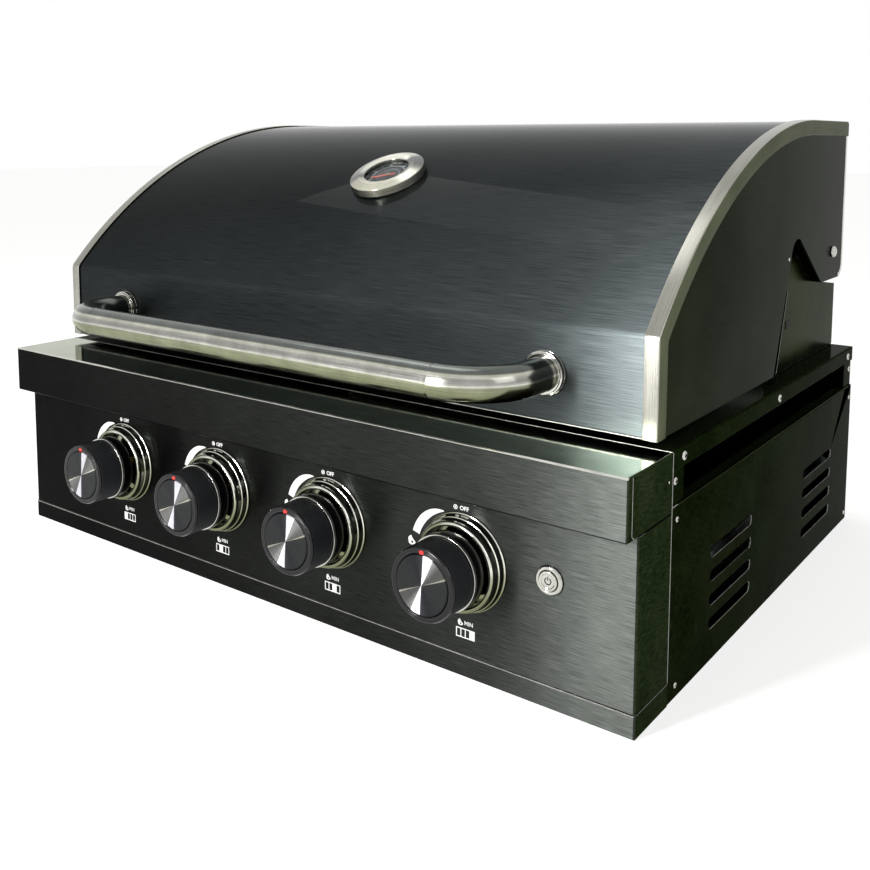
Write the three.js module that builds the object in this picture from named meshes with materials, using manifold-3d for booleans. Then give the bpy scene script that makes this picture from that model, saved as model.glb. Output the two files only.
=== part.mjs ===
// Built-in gas grill with four burner controls, a curved lid and a bent tube handle.
// Millimetres. X runs to the right, Y to the back, Z up, and the origin is the middle of the base.
import * as THREE from 'three';
import { mergeVertices } from 'three/addons/utils/BufferGeometryUtils.js';
import Module from 'manifold-3d';

const wasm = await Module();
wasm.setup();

// Fits and stock shared by many pieces
const clearance = 0.3;
const overrun = 5;
const sheet = 1.2;

// Body
const bodyWidth = 780;
const bodyDepth = 590;
const panelTop = 160;
const ledgeHeight = 50;
const ledgeOverhang = 20;
const ledgeLip = 32;
const cheekDepth = 60;
const stripHeight = 19;
const stripProud = 0.6;
const railHeight = 16;
const railFlange = 26;
const airSlotHeight = 30;
const sideFlange = 12;
const postWidth = 26;
const postLeg = 13;
const postSheet = 1.5;
const frameBar = 20;
const panUpstand = 24;

// Louvre slots: the middle of the front group from the control panel, of the rear group from the back
const louvreLength = 103;
const louvreHeight = 10.4;
const louvrePitch = 21.7;
const louvreCount = 4;
const louvreFoot = 34.5;
const louvreFrontMiddle = 198.5;
const louvreRearInset = 128.5;

// Vents in the rear panel
const ventLength = 150;
const ventHeight = 10;
const ventPitch = 22;
const ventRows = 3;
const ventColumns = 3;
const ventColumnPitch = 200;
const ventFoot = 122;

// Firebox
const tubSideGap = 44;
const tubFront = 85;
const tubRearGap = 45;
const burnerFloorGap = 22.4;
const outletSideMargin = 110;
const outletMargin = 34;
const shelfWidth = 10;
const tamerDrop = 84;
const grateDrop = 26;

// Rear shield and hinges
const shieldInset = 14;
const shieldFrontReach = 142;
const shieldCrestReach = 102;
const shieldPeakReach = 82;
const shieldPeakRise = 3;
const shieldShoulderReach = 31;
const shieldShoulderDrop = 31;
const shieldRearDrop = 44;
const shieldFoot = 14;
const hingeBackGap = 64;
const hingeRise = 118;
const bracketWidth = 42;
const bracketSheet = 3;
const bracketGap = 4;
const hingeShank = 4;
const hingeShoulder = 6;
const hingeHead = 6.5;
const hingeHeadHeight = 4.5;
const hingeNut = 7;
const hingeNutHeight = 6;

// Lid
const lidInset = 10;
const lidFront = 52;
const lidRearInset = 20;
const lidGap = 8;
const lidHeight = 265;
const lidArcRadius = 520;
const lidCreaseRise = 92;
const lidHem = 12;
const lidBackDrop = 123;
const apronDrop = 176;
const apronHalf = 348;
const notchSlope = 44;
const notchReach = 127;
const notchRise = 4;
const notchRadius = 20;
const earReach = 37;
const earDrop = 31.5;
const earCorner = 16;
const trimFace = 13;
const trimSide = 16;
const trimBackDrop = 17;

// Handle
const handleInset = 102;
const handleDrop = 42.5;
const handleStandoff = 80;
const handleRadius = 15.2;
const handleWall = 1.2;
const handleBend = 54;
const collarRadius = 19.5;
const collarThickness = 6.5;

// Thermometer on the lid's arc
const thermometerDistance = 195;
const bezelRadius = 42.5;
const bezelWall = 8.6;
const bezelRidge = 31.5;
const bezelHeight = 12;
const bezelMouth = 25.2;
const bezelMouthTop = 10.6;
const dialRadius = 29;
const dialFloor = 2.4;
const dialThickness = 0.8;
const lensThickness = 1.5;
const lensRoom = 1;
const probeRadius = 4;
const probeNeck = 6;
const probeLength = 70;
const probeBoss = 9;
const probeBossLength = 7;
const needleLength = 22;
const needleTail = 6;
const needleWidth = 2;
const needleThickness = 0.6;
const needleHub = 2.4;
const needleRestTurn = 202;

// Burner controls
const controlCount = 4;
const controlLeftMargin = 174.5;
const controlRightMargin = 157.6;
const controlDrop = 59.6;
const knobRadius = 31.5;
const knobReach = 59;
const knobBack = 18;
const knobSkirt = 33;
const knobSkirtDepth = 12;
const knobGroove = 1.4;
const knobChamfer = 1;
const knobWall = 3.2;
const knobHub = 11;
const knobFace = 8;
const knobSocket = 14;
const capRadius = 28.4;
const capSeat = 1.8;
const capDome = 0.5;
const ringFlange = 43;
const ringFlangeThickness = 1.6;
const ringRadius = 38.8;
const ringHeight = 15.5;
const ringWall = 4;
const stemRadius = 4;
const stemInside = 16;
const knobPress = 3;

// Gas train
const valveWidth = 26;
const valveDepth = 30;
const valveHeight = 28;
const valveNeck = 7;
const nozzleRadius = 5;
const nozzleLength = 16;
const pipeRadius = 10;
const pipeWall = 1.5;
const pipeDrop = 34.4;
const pipeOverhang = 24;
const supplyInset = 32;
const supplyRadius = 7;
const inletRadius = 10.5;
const inletHex = 13;
const inletHexLength = 10;
const inletReach = 22;

// Burners
const burnerRadius = 14;
const burnerWall = 1;
const mouthRadius = 12;
const mouthLength = 16;
const mouthOverlap = 4;
const throatRadius = 9;
const throatBehindWall = 8;
const burnerCone = 20;
const burnerTail = 3;
const burnerTailGap = 20;
const tamerHalfWidth = 46;
const tamerBrim = 10;
const tamerRise = 26;

// Cooking surfaces
const grateMargin = 3;
const grateThickness = 12;
const grateFrame = 11;
const grateGapCount = 11;
const grateBar = 8;
const rackHeightOverBody = 90;
const rackFrontReach = 128;
const rackRearReach = 14;
const rackInset = 11;
const rackWire = 5;
const rackBarCount = 5;
const rackBar = 3.4;

// Ignition
const buttonInset = 74.5;
const buttonRise = 6.6;
const buttonRadius = 8.2;
const buttonProud = 1.2;
const buttonTravel = 1.6;
const buttonFlange = 12.2;
const buttonFlangeHeight = 2.6;
const buttonBarrel = 9.6;
const buttonBarrelLength = 24;
const buttonNut = 13;
const buttonNutHeight = 4;
const buttonRecess = 9;
const moduleInset = 78;
const moduleWidth = 56;
const moduleDepth = 24;
const moduleHeight = 32;
const moduleRise = 29.6;
const electrodeRadius = 3;
const electrodeInside = 34;
const electrodeOutside = 12;
const electrodeTip = 1.2;
const electrodeTipLength = 10;
const electrodeOffset = 24;
const electrodeTab = 6;

// Drip tray
const trayMargin = 14;
const trayFront = 90;
const trayFoot = 16;
const trayGap = 18;
const trayLip = 12;
const trayGrip = 14;
const trayFacePlate = 8;

// Curve counts
const arcSteps = 16;
const notchSteps = 6;
const louvreEndSteps = 4;
const knobSides = 18;
const ringSides = 18;
const dialSides = 20;
const smallSides = 12;
const boltSides = 8;
const burnerSides = 10;
const handleSides = 8;
const handleSteps = 20;

// Worked-out places of the body
const halfWidth = bodyWidth / 2;
const front = -bodyDepth / 2;
const back = bodyDepth / 2;
const bodyTop = panelTop + ledgeHeight;
const seam = front + cheekDepth;
const layer = sheet + clearance;
const innerHalf = halfWidth - layer;
const railInner = halfWidth - railFlange;
const sideTop = bodyTop - railHeight - airSlotHeight;
const deck = bodyTop - sheet;
const louvreRearMiddle = bodyDepth - louvreRearInset;
const tubHalfWidth = halfWidth - tubSideGap;
const tubFrontY = front + tubFront;
const tubRearY = back - tubRearGap;
const controlHeight = panelTop - controlDrop;
const tubFloor = controlHeight - burnerFloorGap;
const tamerShelf = bodyTop - tamerDrop;
const grateShelf = bodyTop - grateDrop;
const outletHalfWidth = tubHalfWidth - outletSideMargin;
const trayHalfWidth = outletHalfWidth + trayMargin;
const trayTop = tubFloor - trayGap;

// Worked-out places of the lid and of what it turns on
const hingeY = back - hingeBackGap;
const hingeHeight = bodyTop + hingeRise;
const lidHalfWidth = halfWidth - lidInset;
const lidRearY = back - lidRearInset;
const lidFoot = bodyTop + lidGap;
const lidTop = bodyTop + lidHeight;
const lidCreaseHeight = bodyTop + lidCreaseRise;
const lidBackFoot = lidTop - lidBackDrop;
const trimBackFoot = lidTop - trimBackDrop;
const apronFoot = lidTop - apronDrop;
const lidArcHeight = lidTop - lidArcRadius;
const creaseRise = lidCreaseHeight - lidArcHeight;
const lidArcY = front + lidFront + Math.sqrt(lidArcRadius ** 2 - creaseRise ** 2);
const sideOuter = lidHalfWidth - layer;
const skinHalf = sideOuter - layer;
const skinFace = front + lidFront + layer;
const notchY = hingeY - notchReach;
const notchHeight = hingeHeight + notchRise;
const earFoot = hingeHeight - earDrop;
const shieldHalfWidth = lidHalfWidth - shieldInset;
const cheekInner = shieldHalfWidth - sheet;
const shieldPeakHeight = hingeHeight + shieldPeakRise;
const handleHalfSpan = lidHalfWidth - handleInset;
const handleHeight = lidCreaseHeight - handleDrop;
const dialTop = dialFloor + clearance + dialThickness;
const needleTop = dialTop + clearance + 2 * needleThickness;
const lensTop = needleTop + lensRoom + lensThickness;
const lensRetainer = lensTop + clearance;
const gaugeSeat = lidArcRadius - layer;
const gaugeAngle = Math.asin((lidArcY - front - thermometerDistance) / gaugeSeat);
const gaugeY = lidArcY - gaugeSeat * Math.sin(gaugeAngle);
const gaugeZ = lidArcHeight + gaugeSeat * Math.cos(gaugeAngle);

// Worked-out places of the controls, the gas train and the rack
const controlFirst = controlLeftMargin - halfWidth;
const controlPitch = (bodyWidth - controlLeftMargin - controlRightMargin) / (controlCount - 1);
const controlXs = Array.from({ length: controlCount }, (_, k) => controlFirst + k * controlPitch);
const buttonX = halfWidth - buttonInset;
const buttonHeight = controlHeight + buttonRise;
const moduleX = halfWidth - moduleInset;
const moduleFoot = controlHeight + moduleRise;
const valveFront = front + layer;
const valveRear = valveFront + valveDepth;
const nozzleTip = valveRear + nozzleLength;
const pipeY = valveFront + valveDepth / 2;
const pipeHeight = controlHeight - pipeDrop;
const supplyX = halfWidth - supplyInset;
const rackHalfWidth = shieldHalfWidth - rackInset;
const rackHeight = bodyTop + rackHeightOverBody;

const finishes = {
  blackSteel: { color: 0x2a2e31, roughness: 0.32, metalness: 0.9 },
  satin: { color: 0xb9b7b0, roughness: 0.34, metalness: 1 },
  polished: { color: 0xd2d1cc, roughness: 0.14, metalness: 1 },
  chrome: { color: 0xdedfe0, roughness: 0.06, metalness: 1 },
  aluminium: { color: 0xc4c6c8, roughness: 0.3, metalness: 1 },
  zinc: { color: 0x9a9da0, roughness: 0.45, metalness: 1 },
  blackPlastic: { color: 0x121314, roughness: 0.5, metalness: 0 },
  brass: { color: 0xb08d4b, roughness: 0.35, metalness: 1 },
  iron: { color: 0x1b1b1c, roughness: 0.75, metalness: 0.5 },
  dial: { color: 0x0e0e0f, roughness: 0.6, metalness: 0 },
  needle: { color: 0xc9281f, roughness: 0.5, metalness: 0 },
  glass: { color: 0xeef4f6, roughness: 0.03, metalness: 0, transparent: true, opacity: 0.3 },
};

const grill = new THREE.Group();

function add(parent, name, geometry, finish) {
  const material = new THREE.MeshStandardMaterial(finishes[finish]);
  const mesh = new THREE.Mesh(geometry, material);
  mesh.name = name;
  parent.add(mesh);
}

// Six times the volume inside a mesh, negative when its faces point inwards
function signedVolume(position, corners) {
  const [a, b, c] = [new THREE.Vector3(), new THREE.Vector3(), new THREE.Vector3()];
  let sum = 0;
  for (let i = 0; i < corners.length; i += 3) {
    a.fromBufferAttribute(position, corners[i]);
    b.fromBufferAttribute(position, corners[i + 1]);
    c.fromBufferAttribute(position, corners[i + 2]);
    sum += a.dot(b.cross(c));
  }
  return sum;
}

// The same shape with shared vertices, no empty triangles and its faces pointing out
function welded(geometry) {
  const bare = geometry.clone();
  bare.deleteAttribute('normal');
  bare.deleteAttribute('uv');
  const merged = mergeVertices(bare);
  const raw = merged.index.array;
  const corners = [];
  for (let i = 0; i < raw.length; i += 3) {
    const [a, b, c] = [raw[i], raw[i + 1], raw[i + 2]];
    if (a !== b && b !== c && c !== a) corners.push(a, b, c);
  }
  if (signedVolume(merged.attributes.position, corners) < 0) corners.reverse();
  merged.setIndex(corners);
  return merged;
}

function toSolid(geometry) {
  const mesh = welded(geometry);
  return new wasm.Manifold(new wasm.Mesh({
    numProp: 3,
    vertProperties: new Float32Array(mesh.attributes.position.array),
    triVerts: new Uint32Array(mesh.index.array),
  }));
}

function fromSolid(body) {
  const mesh = body.getMesh();
  const geometry = new THREE.BufferGeometry();
  const places = new Float32Array(mesh.vertProperties);
  geometry.setAttribute('position', new THREE.BufferAttribute(places, 3));
  geometry.setIndex(new THREE.BufferAttribute(new Uint32Array(mesh.triVerts), 1));
  return geometry;
}

function joined(...shapes) {
  return fromSolid(shapes.map(toSolid).reduce((sum, next) => sum.add(next)));
}

function cut(shape, ...tools) {
  return fromSolid(tools.map(toSolid).reduce((rest, tool) => rest.subtract(tool), toSolid(shape)));
}

function mirrored(geometry) {
  return welded(geometry.clone().scale(-1, 1, 1));
}

// Adds a piece of the right side and its mirror image on the left
function addPair(parent, name, geometry, finish) {
  add(parent, `right_${name}`, geometry, finish);
  add(parent, `left_${name}`, mirrored(geometry), finish);
}

// A box between two corners
function block(x0, x1, y0, y1, z0, z1) {
  const box = new THREE.BoxGeometry(x1 - x0, y1 - y0, z1 - z0);
  return box.translate((x0 + x1) / 2, (y0 + y1) / 2, (z0 + z1) / 2);
}

function extruded(points, depth) {
  const outline = new THREE.Shape(points.map(([a, b]) => new THREE.Vector2(a, b)));
  return new THREE.ExtrudeGeometry(outline, { depth, bevelEnabled: false });
}

// An outline in Y and Z carried along X
function alongX(points, x0, x1) {
  const turn = new THREE.Matrix4().makeBasis(
    new THREE.Vector3(0, 1, 0),
    new THREE.Vector3(0, 0, 1),
    new THREE.Vector3(1, 0, 0),
  );
  return extruded(points, x1 - x0).applyMatrix4(turn).translate(x0, 0, 0);
}

// An outline in X and Z carried along Y
function alongY(points, y0, y1) {
  return extruded(points, y1 - y0).rotateX(Math.PI / 2).translate(0, y1, 0);
}

// An outline in X and Y carried along Z
function alongZ(points, z0, z1) {
  return extruded(points, z1 - z0).translate(0, 0, z0);
}

// A profile of radius and height pairs turned round Z
function turned(profile, sides) {
  const points = profile.map(([radius, height]) => new THREE.Vector2(radius, height));
  return welded(new THREE.LatheGeometry(points, sides).rotateX(Math.PI / 2));
}

function rod(radius, z0, z1, sides) {
  return turned([[0, z0], [radius, z0], [radius, z1], [0, z1]], sides);
}

function rodAlongX(radius, x0, x1, y, z, sides) {
  return rod(radius, x0, x1, sides).rotateY(Math.PI / 2).translate(0, y, z);
}

// Turns a shape made upwards from zero so that it points to the back
function pointedBack(geometry, x, y, z) {
  return geometry.rotateX(-Math.PI / 2).translate(x, y, z);
}

function rodAlongY(radius, y0, y1, x, z, sides) {
  return pointedBack(rod(radius, y0, y1, sides), x, 0, z);
}

// Points of a round arc in the plane of an outline, angles in half turns
function arcPoints(centre, radius, from, to, steps) {
  const angles = Array.from({ length: steps + 1 }, (_, i) => Math.PI * (from + (to - from) * i / steps));
  return angles.map((a) => [centre[0] + radius * Math.cos(a), centre[1] + radius * Math.sin(a)]);
}

// A slot with round ends that runs along Y
function louvreTool(middle, height) {
  const radius = louvreHeight / 2;
  const reach = louvreLength / 2 - radius;
  const points = [
    ...arcPoints([middle + reach, height], radius, -0.5, 0.5, louvreEndSteps),
    ...arcPoints([middle - reach, height], radius, 0.5, 1.5, louvreEndSteps),
  ];
  return alongX(points, halfWidth - sheet - overrun, halfWidth + overrun);
}

// Control panel, base strip and ledge
function buildFront() {
  const wrap = (outer, thickness) => [
    [-outer, seam],
    [-outer, front - outer + halfWidth],
    [outer, front - outer + halfWidth],
    [outer, seam],
    [outer - thickness, seam],
    [outer - thickness, front - outer + halfWidth + thickness],
    [-outer + thickness, front - outer + halfWidth + thickness],
    [-outer + thickness, seam],
  ];
  const strip = alongZ(wrap(halfWidth + stripProud, sheet + stripProud), 0, stripHeight);
  add(grill, 'base_strip', welded(strip), 'blackSteel');

  const panel = alongZ(wrap(halfWidth, sheet), stripHeight + clearance, panelTop - clearance);
  const stemHole = stemRadius + 2 * clearance;
  const openings = controlXs.map((x) => rodAlongY(
    stemHole, front - overrun, front + sheet + overrun, x, controlHeight, boltSides));
  const buttonHole = rodAlongY(
    buttonBarrel + clearance, front - overrun, front + sheet + overrun, buttonX, buttonHeight, ringSides);
  add(grill, 'control_panel', cut(panel, ...openings, buttonHole), 'blackSteel');

  const face = front - ledgeOverhang;
  const ledge = cut(
    block(-halfWidth, halfWidth, face, seam, panelTop, bodyTop),
    block(sheet - halfWidth, halfWidth - sheet, face + sheet, seam + overrun, panelTop + sheet, deck),
    block(sheet - halfWidth, halfWidth - sheet, face + ledgeLip, seam + overrun, panelTop - overrun, deck),
  );
  add(grill, 'front_ledge', ledge, 'blackSteel');
}

// Side panels, top rails, and the inner frame with its four corner posts
function buildSides() {
  const start = seam + clearance;
  const flangeFront = start + postWidth + clearance;
  const flangeBack = back - layer - postWidth - clearance;
  const louvres = [louvreFrontMiddle, louvreRearMiddle].flatMap((middle) => (
    Array.from({ length: louvreCount }, (_, k) => louvreTool(front + middle, louvreFoot + k * louvrePitch))
  ));
  const side = cut(
    joined(
      block(halfWidth - sheet, halfWidth, start, back, 0, sideTop),
      block(halfWidth - sideFlange, halfWidth, flangeFront, flangeBack, sideTop - sheet, sideTop),
    ),
    ...louvres,
  );
  addPair(grill, 'side_panel', side, 'blackSteel');

  const rail = alongY([
    [railInner, deck],
    [halfWidth - sheet, deck],
    [halfWidth - sheet, bodyTop - railHeight],
    [halfWidth, bodyTop - railHeight],
    [halfWidth, bodyTop],
    [railInner, bodyTop],
  ], start, back);
  addPair(grill, 'top_rail', welded(rail), 'blackSteel');

  const frameFoot = sheet + clearance;
  const postFront = start;
  const postBack = back - layer;
  const post = (end, inward) => alongZ([
    [innerHalf, end],
    [innerHalf, end + inward * postWidth],
    [innerHalf - postSheet, end + inward * postWidth],
    [innerHalf - postSheet, end + inward * postSheet],
    [innerHalf - postLeg, end + inward * postSheet],
    [innerHalf - postLeg, end],
  ], frameFoot, deck - clearance);
  const half = joined(
    post(postFront, 1),
    post(postBack, -1),
    block(innerHalf - postSheet, innerHalf, postFront, postBack, frameFoot, frameFoot + frameBar),
  );
  const frontBar = block(-innerHalf, innerHalf, postFront, postFront + postSheet, frameFoot,
    frameFoot + frameBar);
  add(grill, 'inner_frame', joined(half, mirrored(half), frontBar), 'blackSteel');
}

// Rear panel with its vents, the pan with the runners, and the drip tray
function buildRearAndBase() {
  const lipReach = trayHalfWidth + trayLip;
  const vents = [];
  for (let column = 0; column < ventColumns; column += 1) {
    for (let row = 0; row < ventRows; row += 1) {
      const x = (column - (ventColumns - 1) / 2) * ventColumnPitch;
      const z = ventFoot + row * ventPitch;
      vents.push(block(x - ventLength / 2, x + ventLength / 2, back - sheet - overrun, back + overrun,
        z, z + ventHeight));
    }
  }
  const mouth = block(-lipReach - 2 * clearance, lipReach + 2 * clearance, back - sheet - overrun,
    back + overrun, trayFoot - 2 * clearance, trayTop + 2 * clearance);
  const inletHole = rodAlongY(inletRadius + clearance, back - sheet - overrun, back + overrun, supplyX,
    pipeHeight, smallSides);
  const panel = block(-innerHalf, innerHalf, back - sheet, back, 0, deck - clearance);
  add(grill, 'rear_panel', cut(panel, ...vents, mouth, inletHole), 'blackSteel');

  const panFront = front + layer;
  const panBack = back - layer;
  const runnerTop = trayTop - sheet - clearance;
  const runnerX = trayHalfWidth + clearance;
  const runner = alongY([
    [runnerX, 0],
    [runnerX + sheet, 0],
    [runnerX + sheet, runnerTop - sheet],
    [lipReach, runnerTop - sheet],
    [lipReach, runnerTop],
    [runnerX, runnerTop],
  ], front + trayFront, panBack);
  const pan = joined(
    block(-innerHalf, innerHalf, panFront, panBack, 0, sheet),
    block(-innerHalf, innerHalf, panFront, panFront + sheet, 0, panUpstand),
    runner,
    mirrored(runner),
  );
  add(grill, 'bottom_pan', pan, 'zinc');

  const trayEnd = back + clearance;
  const tray = joined(
    cut(
      block(-trayHalfWidth, trayHalfWidth, front + trayFront, trayEnd + sheet, trayFoot, trayTop),
      block(sheet - trayHalfWidth, trayHalfWidth - sheet, front + trayFront + sheet, trayEnd,
        trayFoot + sheet, trayTop + overrun),
    ),
    block(-lipReach, sheet - trayHalfWidth, front + trayFront, trayEnd + sheet, trayTop - sheet, trayTop),
    block(trayHalfWidth - sheet, lipReach, front + trayFront, trayEnd + sheet, trayTop - sheet, trayTop),
    block(-lipReach - trayFacePlate, lipReach + trayFacePlate, trayEnd, trayEnd + sheet,
      trayFoot - trayFacePlate, trayTop + trayFacePlate),
    block(-trayHalfWidth / 2, trayHalfWidth / 2, trayEnd, trayEnd + trayGrip, trayTop - sheet, trayTop),
  );
  add(grill, 'drip_tray', tray, 'zinc');
}

// Tub that holds the burners, hung from its rim at deck height
function buildFirebox() {
  const rimHalf = railInner - clearance;
  const shelf = (height) => [
    block(-tubHalfWidth, tubHalfWidth, tubFrontY, tubFrontY + sheet + shelfWidth, height - sheet, height),
    block(-tubHalfWidth, tubHalfWidth, tubRearY - sheet - shelfWidth, tubRearY, height - sheet, height),
  ];
  const hollow = block(sheet - tubHalfWidth, tubHalfWidth - sheet, tubFrontY + sheet, tubRearY - sheet,
    tubFloor + sheet, bodyTop + overrun);
  const shell = cut(
    joined(
      block(-tubHalfWidth, tubHalfWidth, tubFrontY, tubRearY, tubFloor, bodyTop),
      block(-rimHalf, rimHalf, seam + clearance, back - clearance, deck, bodyTop),
    ),
    hollow,
    block(-outletHalfWidth, outletHalfWidth, tubFrontY + outletMargin, tubRearY - outletMargin,
      tubFloor - overrun, tubFloor + sheet + overrun),
  );
  const holes = controlXs.flatMap((x) => [
    rodAlongY(throatRadius + clearance, tubFrontY - overrun, tubFrontY + sheet + overrun, x, controlHeight,
      burnerSides),
    rodAlongY(burnerTail + clearance, tubRearY - sheet - overrun, tubRearY + overrun, x, controlHeight,
      boltSides),
    rodAlongY(electrodeRadius + clearance, tubFrontY - overrun, tubFrontY + sheet + overrun,
      x + electrodeOffset, controlHeight, boltSides),
  ]);
  const tub = cut(joined(shell, ...shelf(tamerShelf), ...shelf(grateShelf)), ...holes);
  add(grill, 'firebox', tub, 'zinc');
}

// Fixed shield behind the lid with the hinge plates on its cheeks, and the hinge bolts
function buildRearShield() {
  const foot = bodyTop + clearance;
  const plateInner = cheekInner - bracketSheet;
  const half = bracketWidth / 2;
  const cheek = cut(
    joined(
      alongX([
        [hingeY - shieldFrontReach, foot],
        [back, foot],
        [back, hingeHeight - shieldRearDrop],
        [hingeY - shieldShoulderReach, hingeHeight - shieldShoulderDrop],
        [hingeY - shieldPeakReach, shieldPeakHeight],
        [hingeY - shieldCrestReach, shieldPeakHeight - layer],
      ], cheekInner, shieldHalfWidth),
      alongX([
        [hingeY - half, bodyTop + bracketGap],
        [hingeY + half, bodyTop + bracketGap],
        ...arcPoints([hingeY, hingeHeight], half, 0, 1, arcSteps / 2),
      ], plateInner, cheekInner),
    ),
    rodAlongX(hingeShank + clearance, plateInner - overrun, shieldHalfWidth + overrun, hingeY, hingeHeight,
      smallSides),
  );
  const shield = joined(
    cheek,
    mirrored(cheek),
    block(-shieldHalfWidth, shieldHalfWidth, back - sheet, back, foot, hingeHeight - shieldRearDrop),
    block(-cheekInner, cheekInner, back - shieldFoot, back, foot, foot + sheet),
  );
  add(grill, 'rear_shield', shield, 'satin');

  const nutFace = plateInner - clearance;
  const earInner = sideOuter - sheet;
  const headFace = sideOuter + clearance;
  const bolt = turned([
    [0, nutFace - hingeNutHeight],
    [hingeNut, nutFace - hingeNutHeight],
    [hingeNut, nutFace],
    [hingeShank, nutFace],
    [hingeShank, cheekInner + clearance],
    [hingeShoulder, cheekInner + clearance],
    [hingeShoulder, earInner - clearance],
    [hingeShank, earInner - clearance],
    [hingeShank, headFace],
    [hingeHead, headFace],
    [hingeHead, headFace + hingeHeadHeight / 2],
    [hingeHead / 2, headFace + hingeHeadHeight],
    [0, headFace + hingeHeadHeight],
  ], smallSides).rotateY(Math.PI / 2).translate(0, hingeY, hingeHeight);
  addPair(grill, 'hinge_bolt', bolt, 'chrome');
}

// The lid's outline in Y and Z, moved inwards by an inset: front band, crease, arc, flat top, rear drop
function lidOutline(inset, frontFoot, backFoot) {
  const radius = lidArcRadius - inset;
  const faceY = front + lidFront + inset;
  const creaseTurn = Math.acos((faceY - lidArcY) / radius) / Math.PI;
  return [
    [faceY, frontFoot],
    ...arcPoints([lidArcY, lidArcHeight], radius, creaseTurn, 0.5, arcSteps),
    [lidRearY - inset, lidTop - inset],
    [lidRearY - inset, backFoot],
  ];
}

// A band of the lid's outline between two insets
function lidBand(outer, inner, frontFoot, backFoot) {
  return [...lidOutline(outer, frontFoot, backFoot), ...lidOutline(inner, frontFoot, backFoot).reverse()];
}

function buildLid() {
  const lid = new THREE.Group();
  grill.add(lid);
  const rearY = lidRearY - layer;
  const neckHole = probeNeck + 2 * clearance;
  const probeHole = rod(neckHole, -sheet - overrun, overrun, dialSides)
    .rotateX(gaugeAngle)
    .translate(0, gaugeY, gaugeZ);
  const skin = cut(
    joined(
      alongX(lidBand(layer, layer + sheet, lidFoot, lidBackFoot), -skinHalf, skinHalf),
      block(-skinHalf, skinHalf, skinFace, skinFace + lidHem, lidFoot, lidFoot + sheet),
      block(-apronHalf, apronHalf, rearY - sheet, rearY, apronFoot, lidBackFoot + sheet),
    ),
    probeHole,
  );
  add(lid, 'lid_skin', skin, 'blackSteel');

  const plateTop = lidOutline(layer, lidFoot, trimBackFoot).slice(0, -1);
  const plate = cut(
    alongX([
      ...plateTop,
      [rearY, earFoot + earCorner],
      ...arcPoints([rearY - earCorner, earFoot + earCorner], earCorner, 2, 1.5, notchSteps),
      [hingeY - earReach, earFoot],
      ...arcPoints([notchY, notchHeight], notchRadius, 0.3, 1, notchSteps),
      [notchY - notchRadius - notchSlope, lidFoot],
    ], sideOuter - sheet, sideOuter),
    rodAlongX(hingeShank + clearance, sideOuter - sheet - overrun, sideOuter + overrun, hingeY, hingeHeight,
      smallSides),
  );
  addPair(lid, 'lid_side', plate, 'blackSteel');

  const trim = joined(
    alongX(lidBand(0, sheet, lidFoot, trimBackFoot), lidHalfWidth - trimFace, lidHalfWidth),
    alongX(lidBand(0, trimSide, lidFoot, trimBackFoot), lidHalfWidth - sheet, lidHalfWidth),
  );
  addPair(lid, 'lid_trim', trim, 'satin');
  buildHandle(lid);
  buildThermometer(lid);
}

// Middle line of the handle: out from the lid, round a bend, across, and back in the same way
class HandlePath extends THREE.Curve {
  getPoint(t, target = new THREE.Vector3()) {
    const side = t < 0.5 ? -1 : 1;
    const u = 1 - Math.abs(t - 0.5) * 2;
    const axisY = front + lidFront - handleStandoff;
    const bendCentre = handleHalfSpan - handleBend;
    const legEnd = 1 / (handleSteps / 2);
    const bendEnd = 1 - legEnd;
    const legLength = skinFace - clearance - axisY - handleBend;
    if (u <= legEnd) {
      const y = axisY + handleBend + legLength * (1 - u / legEnd);
      return target.set(side * handleHalfSpan, y, handleHeight);
    }
    if (u <= bendEnd) {
      const angle = (u - legEnd) / (bendEnd - legEnd) * Math.PI / 2;
      const x = bendCentre + handleBend * Math.cos(angle);
      return target.set(side * x, axisY + handleBend * (1 - Math.sin(angle)), handleHeight);
    }
    return target.set(side * bendCentre * (1 - u) / (1 - bendEnd), axisY, handleHeight);
  }

  // Steps follow the parameter, which gives the bends most of them
  getUtoTmapping(u) {
    return u;
  }
}

function buildHandle(lid) {
  const ring = new THREE.Shape();
  ring.absarc(0, 0, handleRadius, 0, Math.PI * 2, false);
  const bore = new THREE.Path();
  bore.absarc(0, 0, handleRadius - handleWall, 0, Math.PI * 2, true);
  ring.holes.push(bore);
  const bent = new THREE.ExtrudeGeometry(ring, {
    steps: handleSteps,
    curveSegments: handleSides,
    bevelEnabled: false,
    extrudePath: new HandlePath(),
  });
  add(lid, 'handle_tube', welded(bent), 'polished');

  const collarBore = handleRadius + clearance;
  const roundOff = (collarRadius - collarBore) / 2;
  const collar = turned([
    [collarBore, 0],
    [collarRadius, 0],
    [collarRadius, collarThickness - roundOff],
    [collarRadius - roundOff, collarThickness],
    [collarBore, collarThickness],
    [collarBore, 0],
  ], ringSides).rotateX(Math.PI / 2).translate(handleHalfSpan, skinFace - clearance, handleHeight);
  addPair(lid, 'handle_collar', collar, 'polished');
}

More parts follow.
